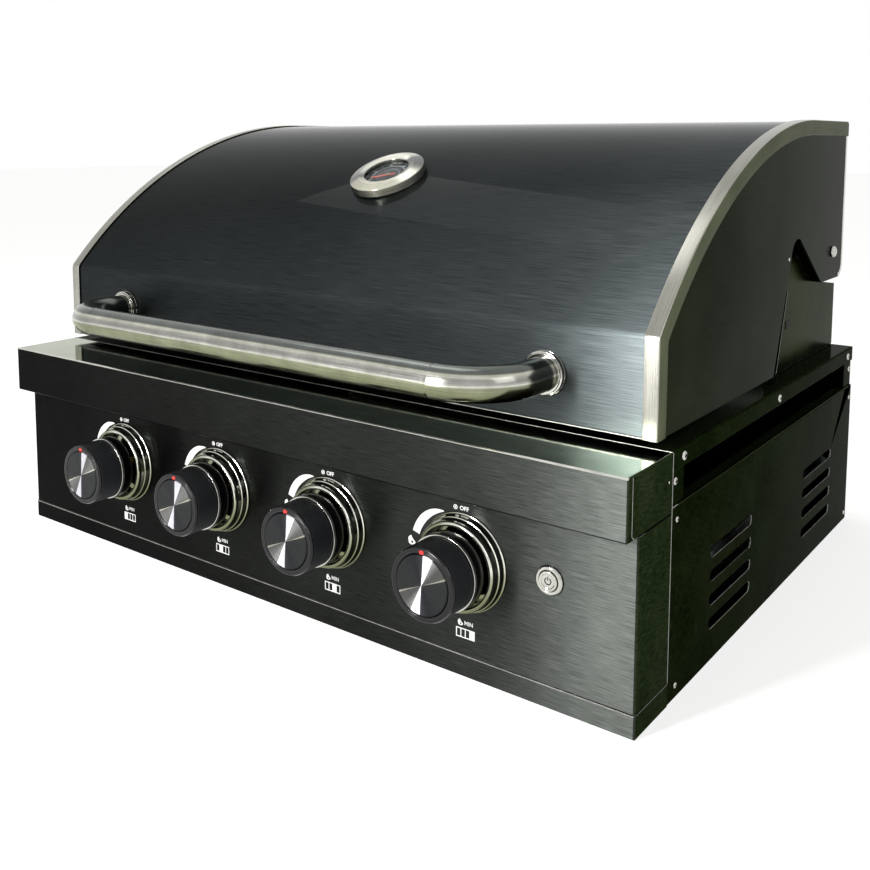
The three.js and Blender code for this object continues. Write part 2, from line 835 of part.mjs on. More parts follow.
function buildThermometer(lid) {
  const gauge = new THREE.Group();
  gauge.position.set(0, gaugeY, gaugeZ);
  gauge.rotation.x = gaugeAngle;
  lid.add(gauge);

  const nutTop = -sheet - clearance;
  const well = dialRadius + clearance;
  const bezel = turned([
    [0, -probeLength],
    [probeRadius, -probeLength],
    [probeRadius, nutTop - probeBossLength],
    [probeBoss, nutTop - probeBossLength],
    [probeBoss, nutTop],
    [probeNeck, nutTop],
    [probeNeck, clearance],
    [bezelRadius, clearance],
    [bezelRadius, bezelWall],
    [bezelRidge, bezelHeight],
    [bezelMouth, bezelMouthTop],
    [bezelMouth, lensRetainer],
    [well, lensRetainer],
    [well, dialFloor],
    [0, dialFloor],
  ], dialSides);
  add(gauge, 'thermometer_bezel', bezel, 'satin');

  const dialBottom = dialFloor + clearance;
  add(gauge, 'thermometer_dial', rod(dialRadius, dialBottom, dialTop, dialSides), 'dial');

  const turn = THREE.MathUtils.degToRad(needleRestTurn);
  const blade = alongZ([
    [-needleTail, -needleWidth / 2],
    [0, -needleWidth / 2],
    [needleLength, -needleThickness / 2],
    [needleLength, needleThickness / 2],
    [0, needleWidth / 2],
    [-needleTail, needleWidth / 2],
  ], dialTop + clearance, dialTop + clearance + needleThickness);
  const hub = rod(needleHub, dialTop + clearance, needleTop, boltSides);
  add(gauge, 'thermometer_needle', joined(blade, hub).rotateZ(turn), 'needle');

  const lens = rod(dialRadius, lensTop - lensThickness, lensTop, dialSides);
  add(gauge, 'thermometer_lens', lens, 'glass');
}

// One burner control, seen from the front: X to the right, Y up and Z out of the panel
function buildControl(index, x) {
  const control = new THREE.Group();
  control.position.set(x, front, controlHeight);
  control.rotation.x = Math.PI / 2;
  grill.add(control);
  const number = index + 1;

  const stemHole = stemRadius + 2 * clearance;
  const plateTop = clearance + ringFlangeThickness;
  const fillet = ringWall / 3;
  const ringInner = ringRadius - ringWall;
  const ring = turned([
    [stemHole, clearance],
    [ringFlange, clearance],
    [ringFlange, plateTop],
    [ringRadius + fillet, plateTop + fillet],
    [ringRadius, plateTop + 2 * fillet],
    [ringRadius, ringHeight - 2 * fillet],
    [ringRadius - fillet, ringHeight],
    [ringInner + fillet / 2, ringHeight],
    [ringInner, ringHeight - fillet],
    [ringInner, plateTop],
    [stemHole, plateTop],
    [stemHole, clearance],
  ], ringSides);
  add(control, `control_ring_${number}`, ring, 'chrome');

  const socketTop = knobBack + knobSocket;
  const skirtTop = knobBack + knobSkirtDepth;
  const grip = knobRadius - knobGroove;
  const faceInner = knobReach - knobFace;
  const seatTop = knobReach - capSeat;
  const knob = turned([
    [0, socketTop],
    [stemRadius + clearance, socketTop],
    [stemRadius + clearance, knobBack],
    [knobHub, knobBack],
    [knobHub, faceInner],
    [knobRadius - knobWall, faceInner],
    [knobRadius - knobWall, knobBack],
    [knobSkirt, knobBack],
    [knobSkirt, skirtTop - knobChamfer],
    [knobSkirt - knobChamfer, skirtTop],
    [grip, skirtTop],
    [grip, skirtTop + knobGroove],
    [knobRadius, skirtTop + 2 * knobGroove],
    [knobRadius, knobReach - knobChamfer],
    [knobRadius - knobChamfer, knobReach],
    [capRadius + clearance, knobReach],
    [capRadius + clearance, seatTop],
    [0, seatTop],
  ], knobSides);
  add(control, `knob_${number}`, knob, 'blackPlastic');

  const cap = turned([
    [0, seatTop + clearance],
    [capRadius, seatTop + clearance],
    [capRadius, knobReach - capDome],
    [capRadius - capSeat, knobReach],
    [0, knobReach + capDome],
  ], knobSides);
  add(control, `knob_cap_${number}`, cap, 'aluminium');

  const stem = rod(stemRadius, -layer - stemInside, socketTop - clearance, smallSides);
  add(control, `valve_stem_${number}`, stem, 'brass');
}

// Valves, manifold pipe and the inlet at the back
function buildGasTrain() {
  const valveTop = controlHeight + valveHeight / 2;
  const valveFoot = controlHeight - valveHeight / 2;
  const stemRoom = stemInside + knobPress + clearance;
  controlXs.forEach((x, index) => {
    const valve = cut(
      joined(
        block(x - valveWidth / 2, x + valveWidth / 2, valveFront, valveRear, valveFoot, valveTop),
        rod(valveNeck, pipeHeight + pipeRadius + clearance, valveFoot + overrun, smallSides)
          .translate(x, pipeY, 0),
        rodAlongY(nozzleRadius, valveRear - overrun, nozzleTip, x, controlHeight, boltSides),
      ),
      rodAlongY(stemRadius + clearance, valveFront - overrun, valveFront + stemRoom, x, controlHeight,
        smallSides),
    );
    add(grill, `gas_valve_${index + 1}`, valve, 'brass');
  });

  const pipeStart = controlXs[0] - pipeOverhang;
  const pipeBore = pipeRadius - pipeWall;
  const supplyBore = supplyRadius - pipeWall;
  const hexEnd = back - sheet - clearance;
  const hexStart = hexEnd - inletHexLength;
  const inletEnd = back + inletReach;
  const manifold = cut(
    joined(
      rodAlongX(pipeRadius, pipeStart, supplyX + supplyRadius, pipeY, pipeHeight, smallSides),
      rodAlongY(supplyRadius, pipeY, hexEnd, supplyX, pipeHeight, smallSides),
      rodAlongY(inletHex, hexStart, hexEnd, supplyX, pipeHeight, smallSides / 2),
      rodAlongY(inletRadius, hexStart, inletEnd, supplyX, pipeHeight, smallSides),
    ),
    joined(
      rodAlongX(pipeBore, pipeStart + pipeWall, supplyX + supplyBore, pipeY, pipeHeight, smallSides),
      rodAlongY(supplyBore, pipeY, inletEnd + overrun, supplyX, pipeHeight, smallSides),
    ),
  );
  add(grill, 'gas_manifold', manifold, 'zinc');
}

// Tube burners, their igniters and the tents above them
function buildBurners() {
  const mouth = nozzleTip - mouthOverlap;
  const neckStart = mouth + mouthLength;
  const throatStart = neckStart + mouthRadius - throatRadius;
  const throatEnd = tubFrontY + sheet + throatBehindWall;
  const bodyStart = throatEnd + burnerCone;
  const bodyEnd = tubRearY - sheet - burnerTailGap;
  const tailEnd = tubRearY + burnerTail;
  controlXs.forEach((x, index) => {
    const burner = turned([
      [mouthRadius - burnerWall, mouth],
      [mouthRadius, mouth],
      [mouthRadius, neckStart],
      [throatRadius, throatStart],
      [throatRadius, throatEnd],
      [burnerRadius, bodyStart],
      [burnerRadius, bodyEnd],
      [burnerTail, bodyEnd],
      [burnerTail, tailEnd],
      [0, tailEnd],
      [0, bodyEnd - burnerWall],
      [burnerRadius - burnerWall, bodyEnd - burnerWall],
      [burnerRadius - burnerWall, bodyStart],
      [throatRadius - burnerWall, throatEnd],
      [throatRadius - burnerWall, throatStart],
      [mouthRadius - burnerWall, neckStart],
      [mouthRadius - burnerWall, mouth],
    ], burnerSides);
    add(grill, `burner_${index + 1}`, pointedBack(burner, x, 0, controlHeight), 'satin');
  });

  const barRear = tubFrontY - clearance;
  const barFront = barRear - sheet;
  const barFoot = controlHeight + throatRadius + clearance;
  const barStart = controlXs[0] + electrodeOffset - electrodeTab;
  const barEnd = controlXs[controlCount - 1] + electrodeOffset + electrodeTab;
  const electrodes = controlXs.map((x) => pointedBack(turned([
    [0, tubFrontY - electrodeOutside],
    [electrodeRadius, tubFrontY - electrodeOutside],
    [electrodeRadius, tubFrontY + electrodeInside],
    [electrodeTip, tubFrontY + electrodeInside],
    [electrodeTip, tubFrontY + electrodeInside + electrodeTipLength],
    [0, tubFrontY + electrodeInside + electrodeTipLength],
  ], boltSides), x + electrodeOffset, 0, controlHeight));
  const tabs = controlXs.map((x) => {
    const middle = x + electrodeOffset;
    return block(middle - electrodeTab, middle + electrodeTab, barFront, barRear,
      controlHeight - electrodeTab, barFoot + electrodeTab);
  });
  const bar = block(barStart, barEnd, barFront, barRear, barFoot, barFoot + electrodeTab);
  add(grill, 'igniter_bar', joined(bar, ...tabs, ...electrodes), 'zinc');

  const slope = tamerHalfWidth - tamerBrim;
  const foot = tamerShelf + clearance;
  const peak = foot + tamerRise;
  const tents = controlXs.map((x) => alongY([
    [x - tamerHalfWidth, foot],
    [x - slope, foot],
    [x, peak],
    [x + slope, foot],
    [x + tamerHalfWidth, foot],
    [x + tamerHalfWidth, foot + sheet],
    [x + slope, foot + sheet],
    [x, peak + sheet],
    [x - slope, foot + sheet],
    [x - tamerHalfWidth, foot + sheet],
  ], tubFrontY + layer, tubRearY - layer));
  const stripStart = controlXs[0];
  const stripEnd = controlXs[controlCount - 1];
  const strips = [tubFrontY + layer, tubRearY - layer - tamerBrim].map((y) => (
    block(stripStart, stripEnd, y, y + tamerBrim, foot, foot + sheet)
  ));
  add(grill, 'flame_tamers', joined(...tents, ...strips), 'satin');
}

// Two cast grates and the wire rack above them
function buildCookingSurfaces() {
  const x0 = grateMargin;
  const x1 = tubHalfWidth - sheet - grateMargin;
  const y0 = tubFrontY + sheet + grateMargin;
  const y1 = tubRearY - sheet - grateMargin;
  const z0 = grateShelf + clearance;
  const z1 = z0 + grateThickness;
  const inner = x1 - x0 - 2 * grateFrame;
  const gapWidth = (inner - (grateGapCount - 1) * grateBar) / grateGapCount;
  const middle = (y0 + y1) / 2;
  const windows = Array.from({ length: grateGapCount }, (_, k) => {
    const start = x0 + grateFrame + k * (gapWidth + grateBar);
    return [
      block(start, start + gapWidth, y0 + grateFrame, middle - grateBar / 2, z0 - overrun, z1 + overrun),
      block(start, start + gapWidth, middle + grateBar / 2, y1 - grateFrame, z0 - overrun, z1 + overrun),
    ];
  });
  const grate = cut(block(x0, x1, y0, y1, z0, z1), ...windows.flat());
  addPair(grill, 'grate', grate, 'iron');

  const rackTop = rackHeight + rackWire;
  const outer = rackHalfWidth + rackWire / 2;
  const rackY0 = hingeY - rackFrontReach;
  const rackY1 = hingeY - rackRearReach;
  const reach = rackWire / 2;
  const legFoot = bodyTop + clearance;
  const wires = [rackY0, rackY1].map((y) => (
    block(-outer, outer, y - reach, y + reach, rackHeight, rackTop)
  ));
  const ends = [-rackHalfWidth, rackHalfWidth].map((x) => (
    block(x - reach, x + reach, rackY0, rackY1, rackHeight, rackTop)
  ));
  const legs = [-rackHalfWidth, rackHalfWidth].flatMap((x) => [rackY0, rackY1].map((y) => (
    block(x - reach, x + reach, y - reach, y + reach, legFoot, rackTop)
  )));
  const step = (rackY1 - rackY0) / (rackBarCount + 1);
  const bars = Array.from({ length: rackBarCount }, (_, k) => {
    const y = rackY0 + (k + 1) * step;
    return block(-rackHalfWidth, rackHalfWidth, y - rackBar / 2, y + rackBar / 2, rackTop - rackBar, rackTop);
  });
  add(grill, 'warming_rack', joined(...wires, ...ends, ...legs, ...bars), 'chrome');
}

// Push button in its housing, and the ignition box behind the panel
function buildIgnition() {
  const switchGroup = new THREE.Group();
  switchGroup.position.set(buttonX, front, buttonHeight);
  switchGroup.rotation.x = Math.PI / 2;
  grill.add(switchGroup);
  const nutTop = -sheet - clearance;
  const bore = buttonRadius + clearance;
  const flangeTop = clearance + buttonFlangeHeight;
  const housing = turned([
    [0, -buttonRecess],
    [bore, -buttonRecess],
    [bore, flangeTop],
    [buttonFlange - clearance, flangeTop],
    [buttonFlange, flangeTop - buttonFlangeHeight / 2],
    [buttonFlange, clearance],
    [buttonBarrel, clearance],
    [buttonBarrel, nutTop],
    [buttonNut, nutTop],
    [buttonNut, nutTop - buttonNutHeight],
    [buttonBarrel, nutTop - buttonNutHeight],
    [buttonBarrel, -buttonBarrelLength],
    [0, -buttonBarrelLength],
  ], ringSides);
  add(switchGroup, 'power_button_housing', housing, 'chrome');
  const buttonTop = flangeTop + buttonProud;
  const plunger = rod(buttonRadius, buttonTravel + clearance - buttonRecess, buttonTop, ringSides);
  add(switchGroup, 'power_button', plunger, 'satin');

  const box = block(moduleX - moduleWidth / 2, moduleX + moduleWidth / 2, tubFrontY - clearance - moduleDepth,
    tubFrontY - clearance, moduleFoot, moduleFoot + moduleHeight);
  add(grill, 'ignition_module', welded(box), 'blackPlastic');
}

buildFront();
buildSides();
buildRearAndBase();
buildFirebox();
buildRearShield();
buildLid();
controlXs.forEach((x, index) => buildControl(index, x));
buildGasTrain();
buildBurners();
buildCookingSurfaces();
buildIgnition();

export default grill;
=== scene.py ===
# Built-in gas grill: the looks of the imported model. Metres in Blender, millimetres in the tables below.
import bpy
import bmesh
import math
import numpy as np
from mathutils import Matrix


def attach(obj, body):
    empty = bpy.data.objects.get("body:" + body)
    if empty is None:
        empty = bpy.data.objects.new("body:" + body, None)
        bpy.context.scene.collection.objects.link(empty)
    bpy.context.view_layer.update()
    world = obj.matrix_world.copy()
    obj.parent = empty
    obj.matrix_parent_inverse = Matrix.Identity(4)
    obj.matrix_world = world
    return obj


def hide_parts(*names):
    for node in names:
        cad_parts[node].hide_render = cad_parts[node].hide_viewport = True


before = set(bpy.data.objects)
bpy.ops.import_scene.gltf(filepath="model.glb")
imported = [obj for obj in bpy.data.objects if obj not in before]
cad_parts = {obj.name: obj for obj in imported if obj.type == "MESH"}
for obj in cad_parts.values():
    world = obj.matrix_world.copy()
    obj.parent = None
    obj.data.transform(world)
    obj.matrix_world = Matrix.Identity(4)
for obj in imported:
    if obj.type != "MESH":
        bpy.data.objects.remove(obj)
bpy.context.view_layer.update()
mm = 0.001
print("frame loaded:", len(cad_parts), "nodes")


# sRGB hex to the linear values that Blender's sockets take
def linear(code):
    srgb = np.array([int(code[i:i + 2], 16) for i in (1, 3, 5)]) / 255
    rgb = np.where(srgb <= 0.04045, srgb / 12.92, ((srgb + 0.055) / 1.055) ** 2.4)
    return (*rgb.tolist(), 1.0)


# Adds a node: links gives each input a value or another node's output
def addNode(tree, kind, links=None, **settings):
    node = tree.nodes.new(kind)
    for key, value in settings.items():
        setattr(node, key, value)
    for socket, source in (links or {}).items():
        if isinstance(source, bpy.types.NodeSocket):
            tree.links.new(source, node.inputs[socket])
        else:
            node.inputs[socket].default_value = source
    return node


# An object for some data, linked into the scene
def addObject(name, data):
    made = bpy.data.objects.new(name, data)
    bpy.context.collection.objects.link(made)
    return made


# Starts a metal, unless the look says otherwise, in its darker colour and its smoother finish
def startMaterial(name, look):
    material = bpy.data.materials.new(name)
    material.use_nodes = True
    tree = material.node_tree
    shader = tree.nodes["Principled BSDF"]
    shader.inputs["Base Color"].default_value = linear(look["dark"])
    shader.inputs["Metallic"].default_value = look.get("metallic", 1.0)
    shader.inputs["Roughness"].default_value = look["rough"][0]
    shader.inputs["Anisotropic Rotation"].default_value = 0.25
    for socket, value in look.get("sockets", {}).items():
        shader.inputs[socket].default_value = value
    return material, tree, shader


# Lets one pattern move the colour from dark to light and the roughness between its two ends
def colourBy(tree, shader, pattern, look):
    mixed = addNode(tree, "ShaderNodeMix", {0: pattern, 6: linear(look["dark"]), 7: linear(look["light"])},
                    data_type="RGBA")
    tree.links.new(mixed.outputs[2], shader.inputs["Base Color"])
    smooth, dull = look["rough"]
    rough = addNode(tree, "ShaderNodeMapRange", {"Value": pattern, "To Min": smooth, "To Max": dull})
    tree.links.new(rough.outputs["Result"], shader.inputs["Roughness"])


# Multiplies the colour that already reaches the shader by another colour or grey
def tintColour(tree, shader, source):
    before = shader.inputs["Base Color"].links[0].from_socket
    product = addNode(tree, "ShaderNodeMix", {0: 1.0, 6: before, 7: source}, data_type="RGBA",
                      blend_type="MULTIPLY")
    tree.links.new(product.outputs[2], shader.inputs["Base Color"])


# Painted light and reflection, laid into the colour as bands
# Colours that follow each other round a turned piece: the place along the brush map in turns, without its
# whole turns, picks one from a ramp of stops
def addBands(tree, shader, bands):
    brush = addNode(tree, "ShaderNodeUVMap", uv_map="brush")
    parts = addNode(tree, "ShaderNodeSeparateXYZ", {"Vector": brush.outputs["UV"]})
    turns = addNode(tree, "ShaderNodeMath", {0: parts.outputs[bands["axis"]], 1: 1000 / bands["length"]},
                    operation="MULTIPLY")
    part = addNode(tree, "ShaderNodeMath", {0: turns.outputs[0]}, operation="FRACT")
    ramp = addNode(tree, "ShaderNodeValToRGB", {"Fac": part.outputs[0]})
    stops = ramp.color_ramp.elements
    stops.remove(stops[1])
    stops[0].position, stops[0].color = bands["stops"][0][0], linear(bands["stops"][0][1])
    for position, code in bands["stops"][1:]:
        stops.new(position).color = linear(code)
    tintColour(tree, shader, ramp.outputs["Color"])


# Painted reflection: the colour is multiplied by one share where the face is seen square on and another at a
# slant
def addPaintedSlantLight(tree, shader, slant):
    facing = addNode(tree, "ShaderNodeLayerWeight", {"Blend": 0.5})
    shade = addNode(tree, "ShaderNodeMapRange", {
        "Value": facing.outputs["Facing"], "From Min": slant["square"], "From Max": slant["slanted"],
        "To Min": slant["squareShare"], "To Max": slant["slantShare"]})
    grey = addNode(tree, "ShaderNodeCombineColor", {channel: shade.outputs[0] for channel in range(3)})
    tintColour(tree, shader, grey.outputs[0])


# Rolled sheet, tube and turned metal. Grain is noise drawn out along u of the brush map, lines apart in
# millimetres by reach long; smudges are soft clouds on the object; wobble is the waviness of thin sheet.
def brushedMetal(name, look):
    material, tree, shader = startMaterial(name, look)
    across, reach = look["grain"]
    brush = addNode(tree, "ShaderNodeUVMap", uv_map="brush")
    drawn = addNode(tree, "ShaderNodeMapping",
                    {"Vector": brush.outputs["UV"], "Scale": (1000 / reach, 1000 / across, 1)})
    grain = addNode(tree, "ShaderNodeTexNoise",
                    {"Vector": drawn.outputs["Vector"], "Scale": 1.0, "Detail": 3.0, "Roughness": 0.65},
                    noise_dimensions="2D")
    place = addNode(tree, "ShaderNodeTexCoord")
    smudge = addNode(tree, "ShaderNodeTexNoise",
                     {"Vector": place.outputs["Object"], "Scale": 1000 / look["smudge"], "Detail": 4.0,
                      "Roughness": 0.6})
    sharper = addNode(tree, "ShaderNodeMapRange", {"Value": grain.outputs["Fac"], "From Min": 0.3,
                                                   "From Max": 0.7})
    cloud = addNode(tree, "ShaderNodeMapRange", {"Value": smudge.outputs["Fac"], "From Min": 0.35,
                                                 "From Max": 0.68, "To Max": look["smudgeShare"]})
    grainPart = addNode(tree, "ShaderNodeMath", {0: sharper.outputs["Result"], 1: look["grainShare"]},
                        operation="MULTIPLY")
    both = addNode(tree, "ShaderNodeMath", {0: grainPart.outputs[0], 1: cloud.outputs["Result"]},
                   operation="ADD", use_clamp=True)
    colourBy(tree, shader, both.outputs[0], look)
    if "slant" in look:
        addPaintedSlantLight(tree, shader, look["slant"])
    if "bands" in look:
        addBands(tree, shader, look["bands"])
    wave = addNode(tree, "ShaderNodeTexNoise",
                   {"Vector": place.outputs["Object"], "Scale": 1000 / look["wave"], "Detail": 1.0})
    bent = addNode(tree, "ShaderNodeBump", {"Height": wave.outputs["Fac"], "Strength": 1.0,
                                            "Distance": look["waveDepth"] * mm})
    scored = addNode(tree, "ShaderNodeBump", {"Height": grain.outputs["Fac"], "Strength": 1.0,
                                              "Distance": look["grainDepth"] * mm,
                                              "Normal": bent.outputs["Normal"]})
    tree.links.new(scored.outputs["Normal"], shader.inputs["Normal"])
    tangent = addNode(tree, "ShaderNodeTangent", direction_type="UV_MAP", uv_map="brush")
    tree.links.new(tangent.outputs["Tangent"], shader.inputs["Tangent"])
    return material


# Black-coated stainless sheet, brushed along its length: grey streaks in a dark mirror
# Its slant share is painted reflection: lighter seen square on, darker at a slant
brushedBlack = brushedMetal("brushed_black_steel", {
    "dark": "#171917", "light": "#323432", "rough": (0.36, 0.42), "grain": (0.55, 22), "grainShare": 0.75,
    "smudge": 160, "smudgeShare": 0.25, "grainDepth": 0.0015, "wave": 220, "waveDepth": 0.15,
    "slant": {"square": 0.2, "slanted": 0.45, "squareShare": 1.85, "slantShare": 0.5},
    "sockets": {"Anisotropic": 1.0, "Specular Tint": (0.45, 0.45, 0.45, 1), "Coat Weight": 1.0,
                "Coat Roughness": 0.035, "Coat IOR": 1.06},
})

# The lid's skin: the same sheet with a finer polish, which still mirrors the gauge
# Its slant share is painted reflection: lighter seen square on, darker at a slant
lidBlack = brushedMetal("lid_black_steel", {
    "dark": "#1e2223", "light": "#393d3d", "rough": (0.34, 0.4), "grain": (0.55, 40), "grainShare": 0.75,
    "smudge": 260, "smudgeShare": 0.25, "grainDepth": 0.001, "wave": 300, "waveDepth": 0.2,
    "slant": {"square": 0.12, "slanted": 0.55, "squareShare": 2.3, "slantShare": 0.7},
    "sockets": {"Anisotropic": 1.0, "Specular Tint": (0.47, 0.47, 0.47, 1), "Coat Weight": 1.0,
                "Coat Roughness": 0.03, "Coat IOR": 1.06},
})

# Black-coated sheet left bright: black, wavy as thin sheet is, its green cast and mottling painted reflection
mirrorLook = {
    "dark": "#0f1608", "light": "#2b3420", "rough": (0.08, 0.16), "grain": (1.8, 9), "grainShare": 0.55,
    "smudge": 60, "smudgeShare": 0.35, "grainDepth": 0.0006, "wave": 130, "waveDepth": 0.5, "metallic": 0.4,
    "sockets": {"Anisotropic": 0.2, "Specular Tint": (0.43, 0.43, 0.43, 1), "Specular IOR Level": 0.0},
}
mirrorBlack = brushedMetal("mirror_black_steel", mirrorLook)

# The same sheet on the front pieces' returns, painted a little lighter as light on these faces
returnBlack = brushedMetal("return_black_steel", {
    **mirrorLook, "dark": "#1c2617", "light": "#3e4932", "rough": (0.1, 0.18), "waveDepth": 0.4,
    "metallic": 0.45,
})

# The ledge's top: the same bright-left sheet with a painted reflection of the lid's front, many times
# lighter at a low angle and lightest towards its right end
ledgeMirror = brushedMetal("ledge_black_steel", {
    "dark": "#1f211d", "light": "#31342d", "rough": (0.06, 0.11), "grain": (0.6, 60), "grainShare": 0.5,
    "smudge": 120, "smudgeShare": 0.5, "grainDepth": 0.0006, "wave": 200, "waveDepth": 0.1,
    "slant": {"square": 0.5, "slanted": 0.72, "squareShare": 1.0, "slantShare": 40.0},
    "bands": {"axis": 0, "length": 780.0, "stops": [
        (0.0, "#b0b0aa"), (0.2, "#bcbcb6"), (0.44, "#ffffff"), (0.499, "#ffffff"), (0.5, "#acaca6"),
        (1.0, "#b0b0aa")]},
    "sockets": {"Anisotropic": 0.3, "Specular Tint": (0.9, 0.9, 0.9, 1)},
})

# The lid's side plates: the mirror sheet, a little greyer
# Its olive cast is the same painted reflection
lidSideBlack = brushedMetal("lid_side_black_steel", {
    "dark": "#191e12", "light": "#2c3223", "rough": (0.09, 0.16), "grain": (0.8, 40), "grainShare": 0.4,
    "smudge": 150, "smudgeShare": 0.6, "grainDepth": 0.0006, "wave": 160, "waveDepth": 0.4,
    "sockets": {"Anisotropic": 0.2, "Specular Tint": (0.5, 0.5, 0.5, 1)},
})

# Where the coated sheet was cut or bent hard the bare steel shows; along bends and on the bars at hems and
# seams it is in part painted highlight
bareEdgeAndHighlight = brushedMetal("bare_steel_edge_and_highlight", {
    "dark": "#6e6f6c", "light": "#a9a8a2", "rough": (0.25, 0.4), "grain": (0.5, 9), "grainShare": 0.8,
    "smudge": 40, "smudgeShare": 0.2, "grainDepth": 0.002, "wave": 100, "waveDepth": 0.0,
    "sockets": {"Anisotropic": 0.3},
})

# Uncoated stainless with a satin belt finish: warm light grey, long soft lines
satinLook = {
    "dark": "#84837b", "light": "#a9a89f", "rough": (0.24, 0.34), "grain": (0.6, 70), "grainShare": 0.6,
    "smudge": 60, "smudgeShare": 0.4, "grainDepth": 0.002, "wave": 200, "waveDepth": 0.15,
    "sockets": {"Anisotropic": 0.7},
}
satinSteel = brushedMetal("satin_steel", satinLook)

# The trims' faces along the lid's sides, over the dark plate: the same steel, darker and olive as painted
# shade
trimShadedSteel = brushedMetal("satin_steel_painted_shade", {
    **satinLook, "dark": "#4a4f3c", "light": "#6a6f58",
    "sockets": {"Anisotropic": 0.5, "Specular Tint": (0.5, 0.5, 0.5, 1)},
})

# Gauge case: the same finish turned, brighter, with painted reflection in broad sectors of light and grey
# round the axis
brightSteel = brushedMetal("turned_bright_steel", {
    "dark": "#bcbbb4", "light": "#e2e1d9", "rough": (0.18, 0.26), "grain": (0.5, 90), "grainShare": 0.6,
    "smudge": 30, "smudgeShare": 0.4, "grainDepth": 0.0015, "wave": 60, "waveDepth": 0.0,
    "bands": {"axis": 0, "length": 267.0, "stops": [
        (0.0, "#c9c9c4"), (0.06, "#8d8f90"), (0.15, "#7c8082"), (0.19, "#f4f4ee"), (0.33, "#f8f8f2"),
        (0.42, "#b4b5b0"), (0.52, "#a0a19e"), (0.6, "#75777a"), (0.64, "#d8d7cc"), (0.72, "#eeede0"),
        (0.86, "#f4f3e8"), (1.0, "#c9c9c4")]},
    "sockets": {"Anisotropic": 0.7},
})

# Bright hem: where the sheet's own steel shows polished along a fold, and in part painted highlight on the
# fold
hemSteelAndHighlight = brushedMetal("bright_hem_and_highlight", {
    "dark": "#b4b3ac", "light": "#dcdbd4", "rough": (0.18, 0.28), "grain": (0.5, 20), "grainShare": 0.6,
    "smudge": 30, "smudgeShare": 0.4, "grainDepth": 0.001, "wave": 60, "waveDepth": 0.0,
    "sockets": {"Anisotropic": 0.3},
})

# Inside of the body: painted sheet, dulled by soot
sootBlack = brushedMetal("sooted_steel", {
    "dark": "#070807", "light": "#121311", "rough": (0.45, 0.6), "grain": (1.2, 30), "grainShare": 0.3,
    "smudge": 60, "smudgeShare": 0.7, "grainDepth": 0.004, "wave": 120, "waveDepth": 0.2,
    "sockets": {"Specular Tint": (0.3, 0.3, 0.3, 1)},
})

# Shield cheeks: mill-finish stainless, cloudier than the satin trims, painted darker and olive as shade
millSteelInShade = brushedMetal("mill_steel_painted_shade", {
    "dark": "#202815", "light": "#3a4429", "rough": (0.2, 0.32), "grain": (0.8, 60), "grainShare": 0.4,
    "smudge": 70, "smudgeShare": 0.6, "grainDepth": 0.002, "wave": 110, "waveDepth": 0.35,
    "sockets": {"Anisotropic": 0.35, "Specular Tint": (0.48, 0.48, 0.48, 1)},
})

# Polished stainless of the screws and the button
polishedSteel = brushedMetal("polished_steel", {
    "dark": "#a4a49d", "light": "#cfcec6", "rough": (0.07, 0.18), "grain": (1.6, 90), "grainShare": 0.45,
    "smudge": 30, "smudgeShare": 0.55, "grainDepth": 0.0015, "wave": 60, "waveDepth": 0.06,
    "sockets": {"Anisotropic": 0.3},
})

# Handle tube: polished stainless with polishing streaks and handling marks. Its long bands of painted
# reflection, light and shade, run round the tube from the lid's side: slate over the top, bright before,
# olive and dark below.
handleSteel = brushedMetal("handle_steel", {
    "dark": "#b0b0aa", "light": "#eeeeea", "rough": (0.13, 0.26), "grain": (1.0, 60), "grainShare": 0.5,
    "smudge": 26, "smudgeShare": 0.5, "grainDepth": 0.0015, "wave": 60, "waveDepth": 0.06,
    "bands": {"axis": 1, "length": 95.504, "stops": [
        (0.0, "#6c706d"), (0.24, "#858a87"), (0.375, "#777c7b"), (0.388, "#dddccf"), (0.405, "#ecebe2"),
        (0.425, "#c4c3c0"), (0.455, "#b4b3b2"), (0.474, "#d6d5d2"), (0.482, "#fbfbf6"), (0.49, "#f6f6f0"),
        (0.498, "#9c9f88"), (0.56, "#989c7e"), (0.63, "#7d8164"), (0.67, "#33352e"), (0.8, "#2c2e2a"),
        (1.0, "#6c706d")]},
    "sockets": {"Anisotropic": 0.3},
})

# Plated trim: a clean mirror with hair-fine turning lines
chromeLook = {
    "dark": "#a8a8a2", "light": "#cac9c2", "rough": (0.04, 0.1), "grain": (0.6, 80), "grainShare": 0.6,
    "smudge": 30, "smudgeShare": 0.4, "grainDepth": 0.0008, "wave": 25, "waveDepth": 0.02,
}
chrome = brushedMetal("chrome_plate", chromeLook)

# The control rings' plating: the same, with painted reflection bright towards the upper right and olive round
# the rest
ringChrome = brushedMetal("ring_chrome", {
    **chromeLook, "dark": "#c4c4be", "light": "#f0efea",
    "bands": {"axis": 0, "length": 270.177, "stops": [
        (0.0, "#b9baa8"), (0.03, "#f4f4ee"), (0.1, "#fafaf6"), (0.25, "#ecece6"), (0.31, "#8f927c"),
        (0.42, "#5f6252"), (0.5, "#4c4e44"), (0.7, "#5a5c50"), (0.78, "#85886c"), (0.92, "#8f9276"),
        (1.0, "#b9baa8")]},
})

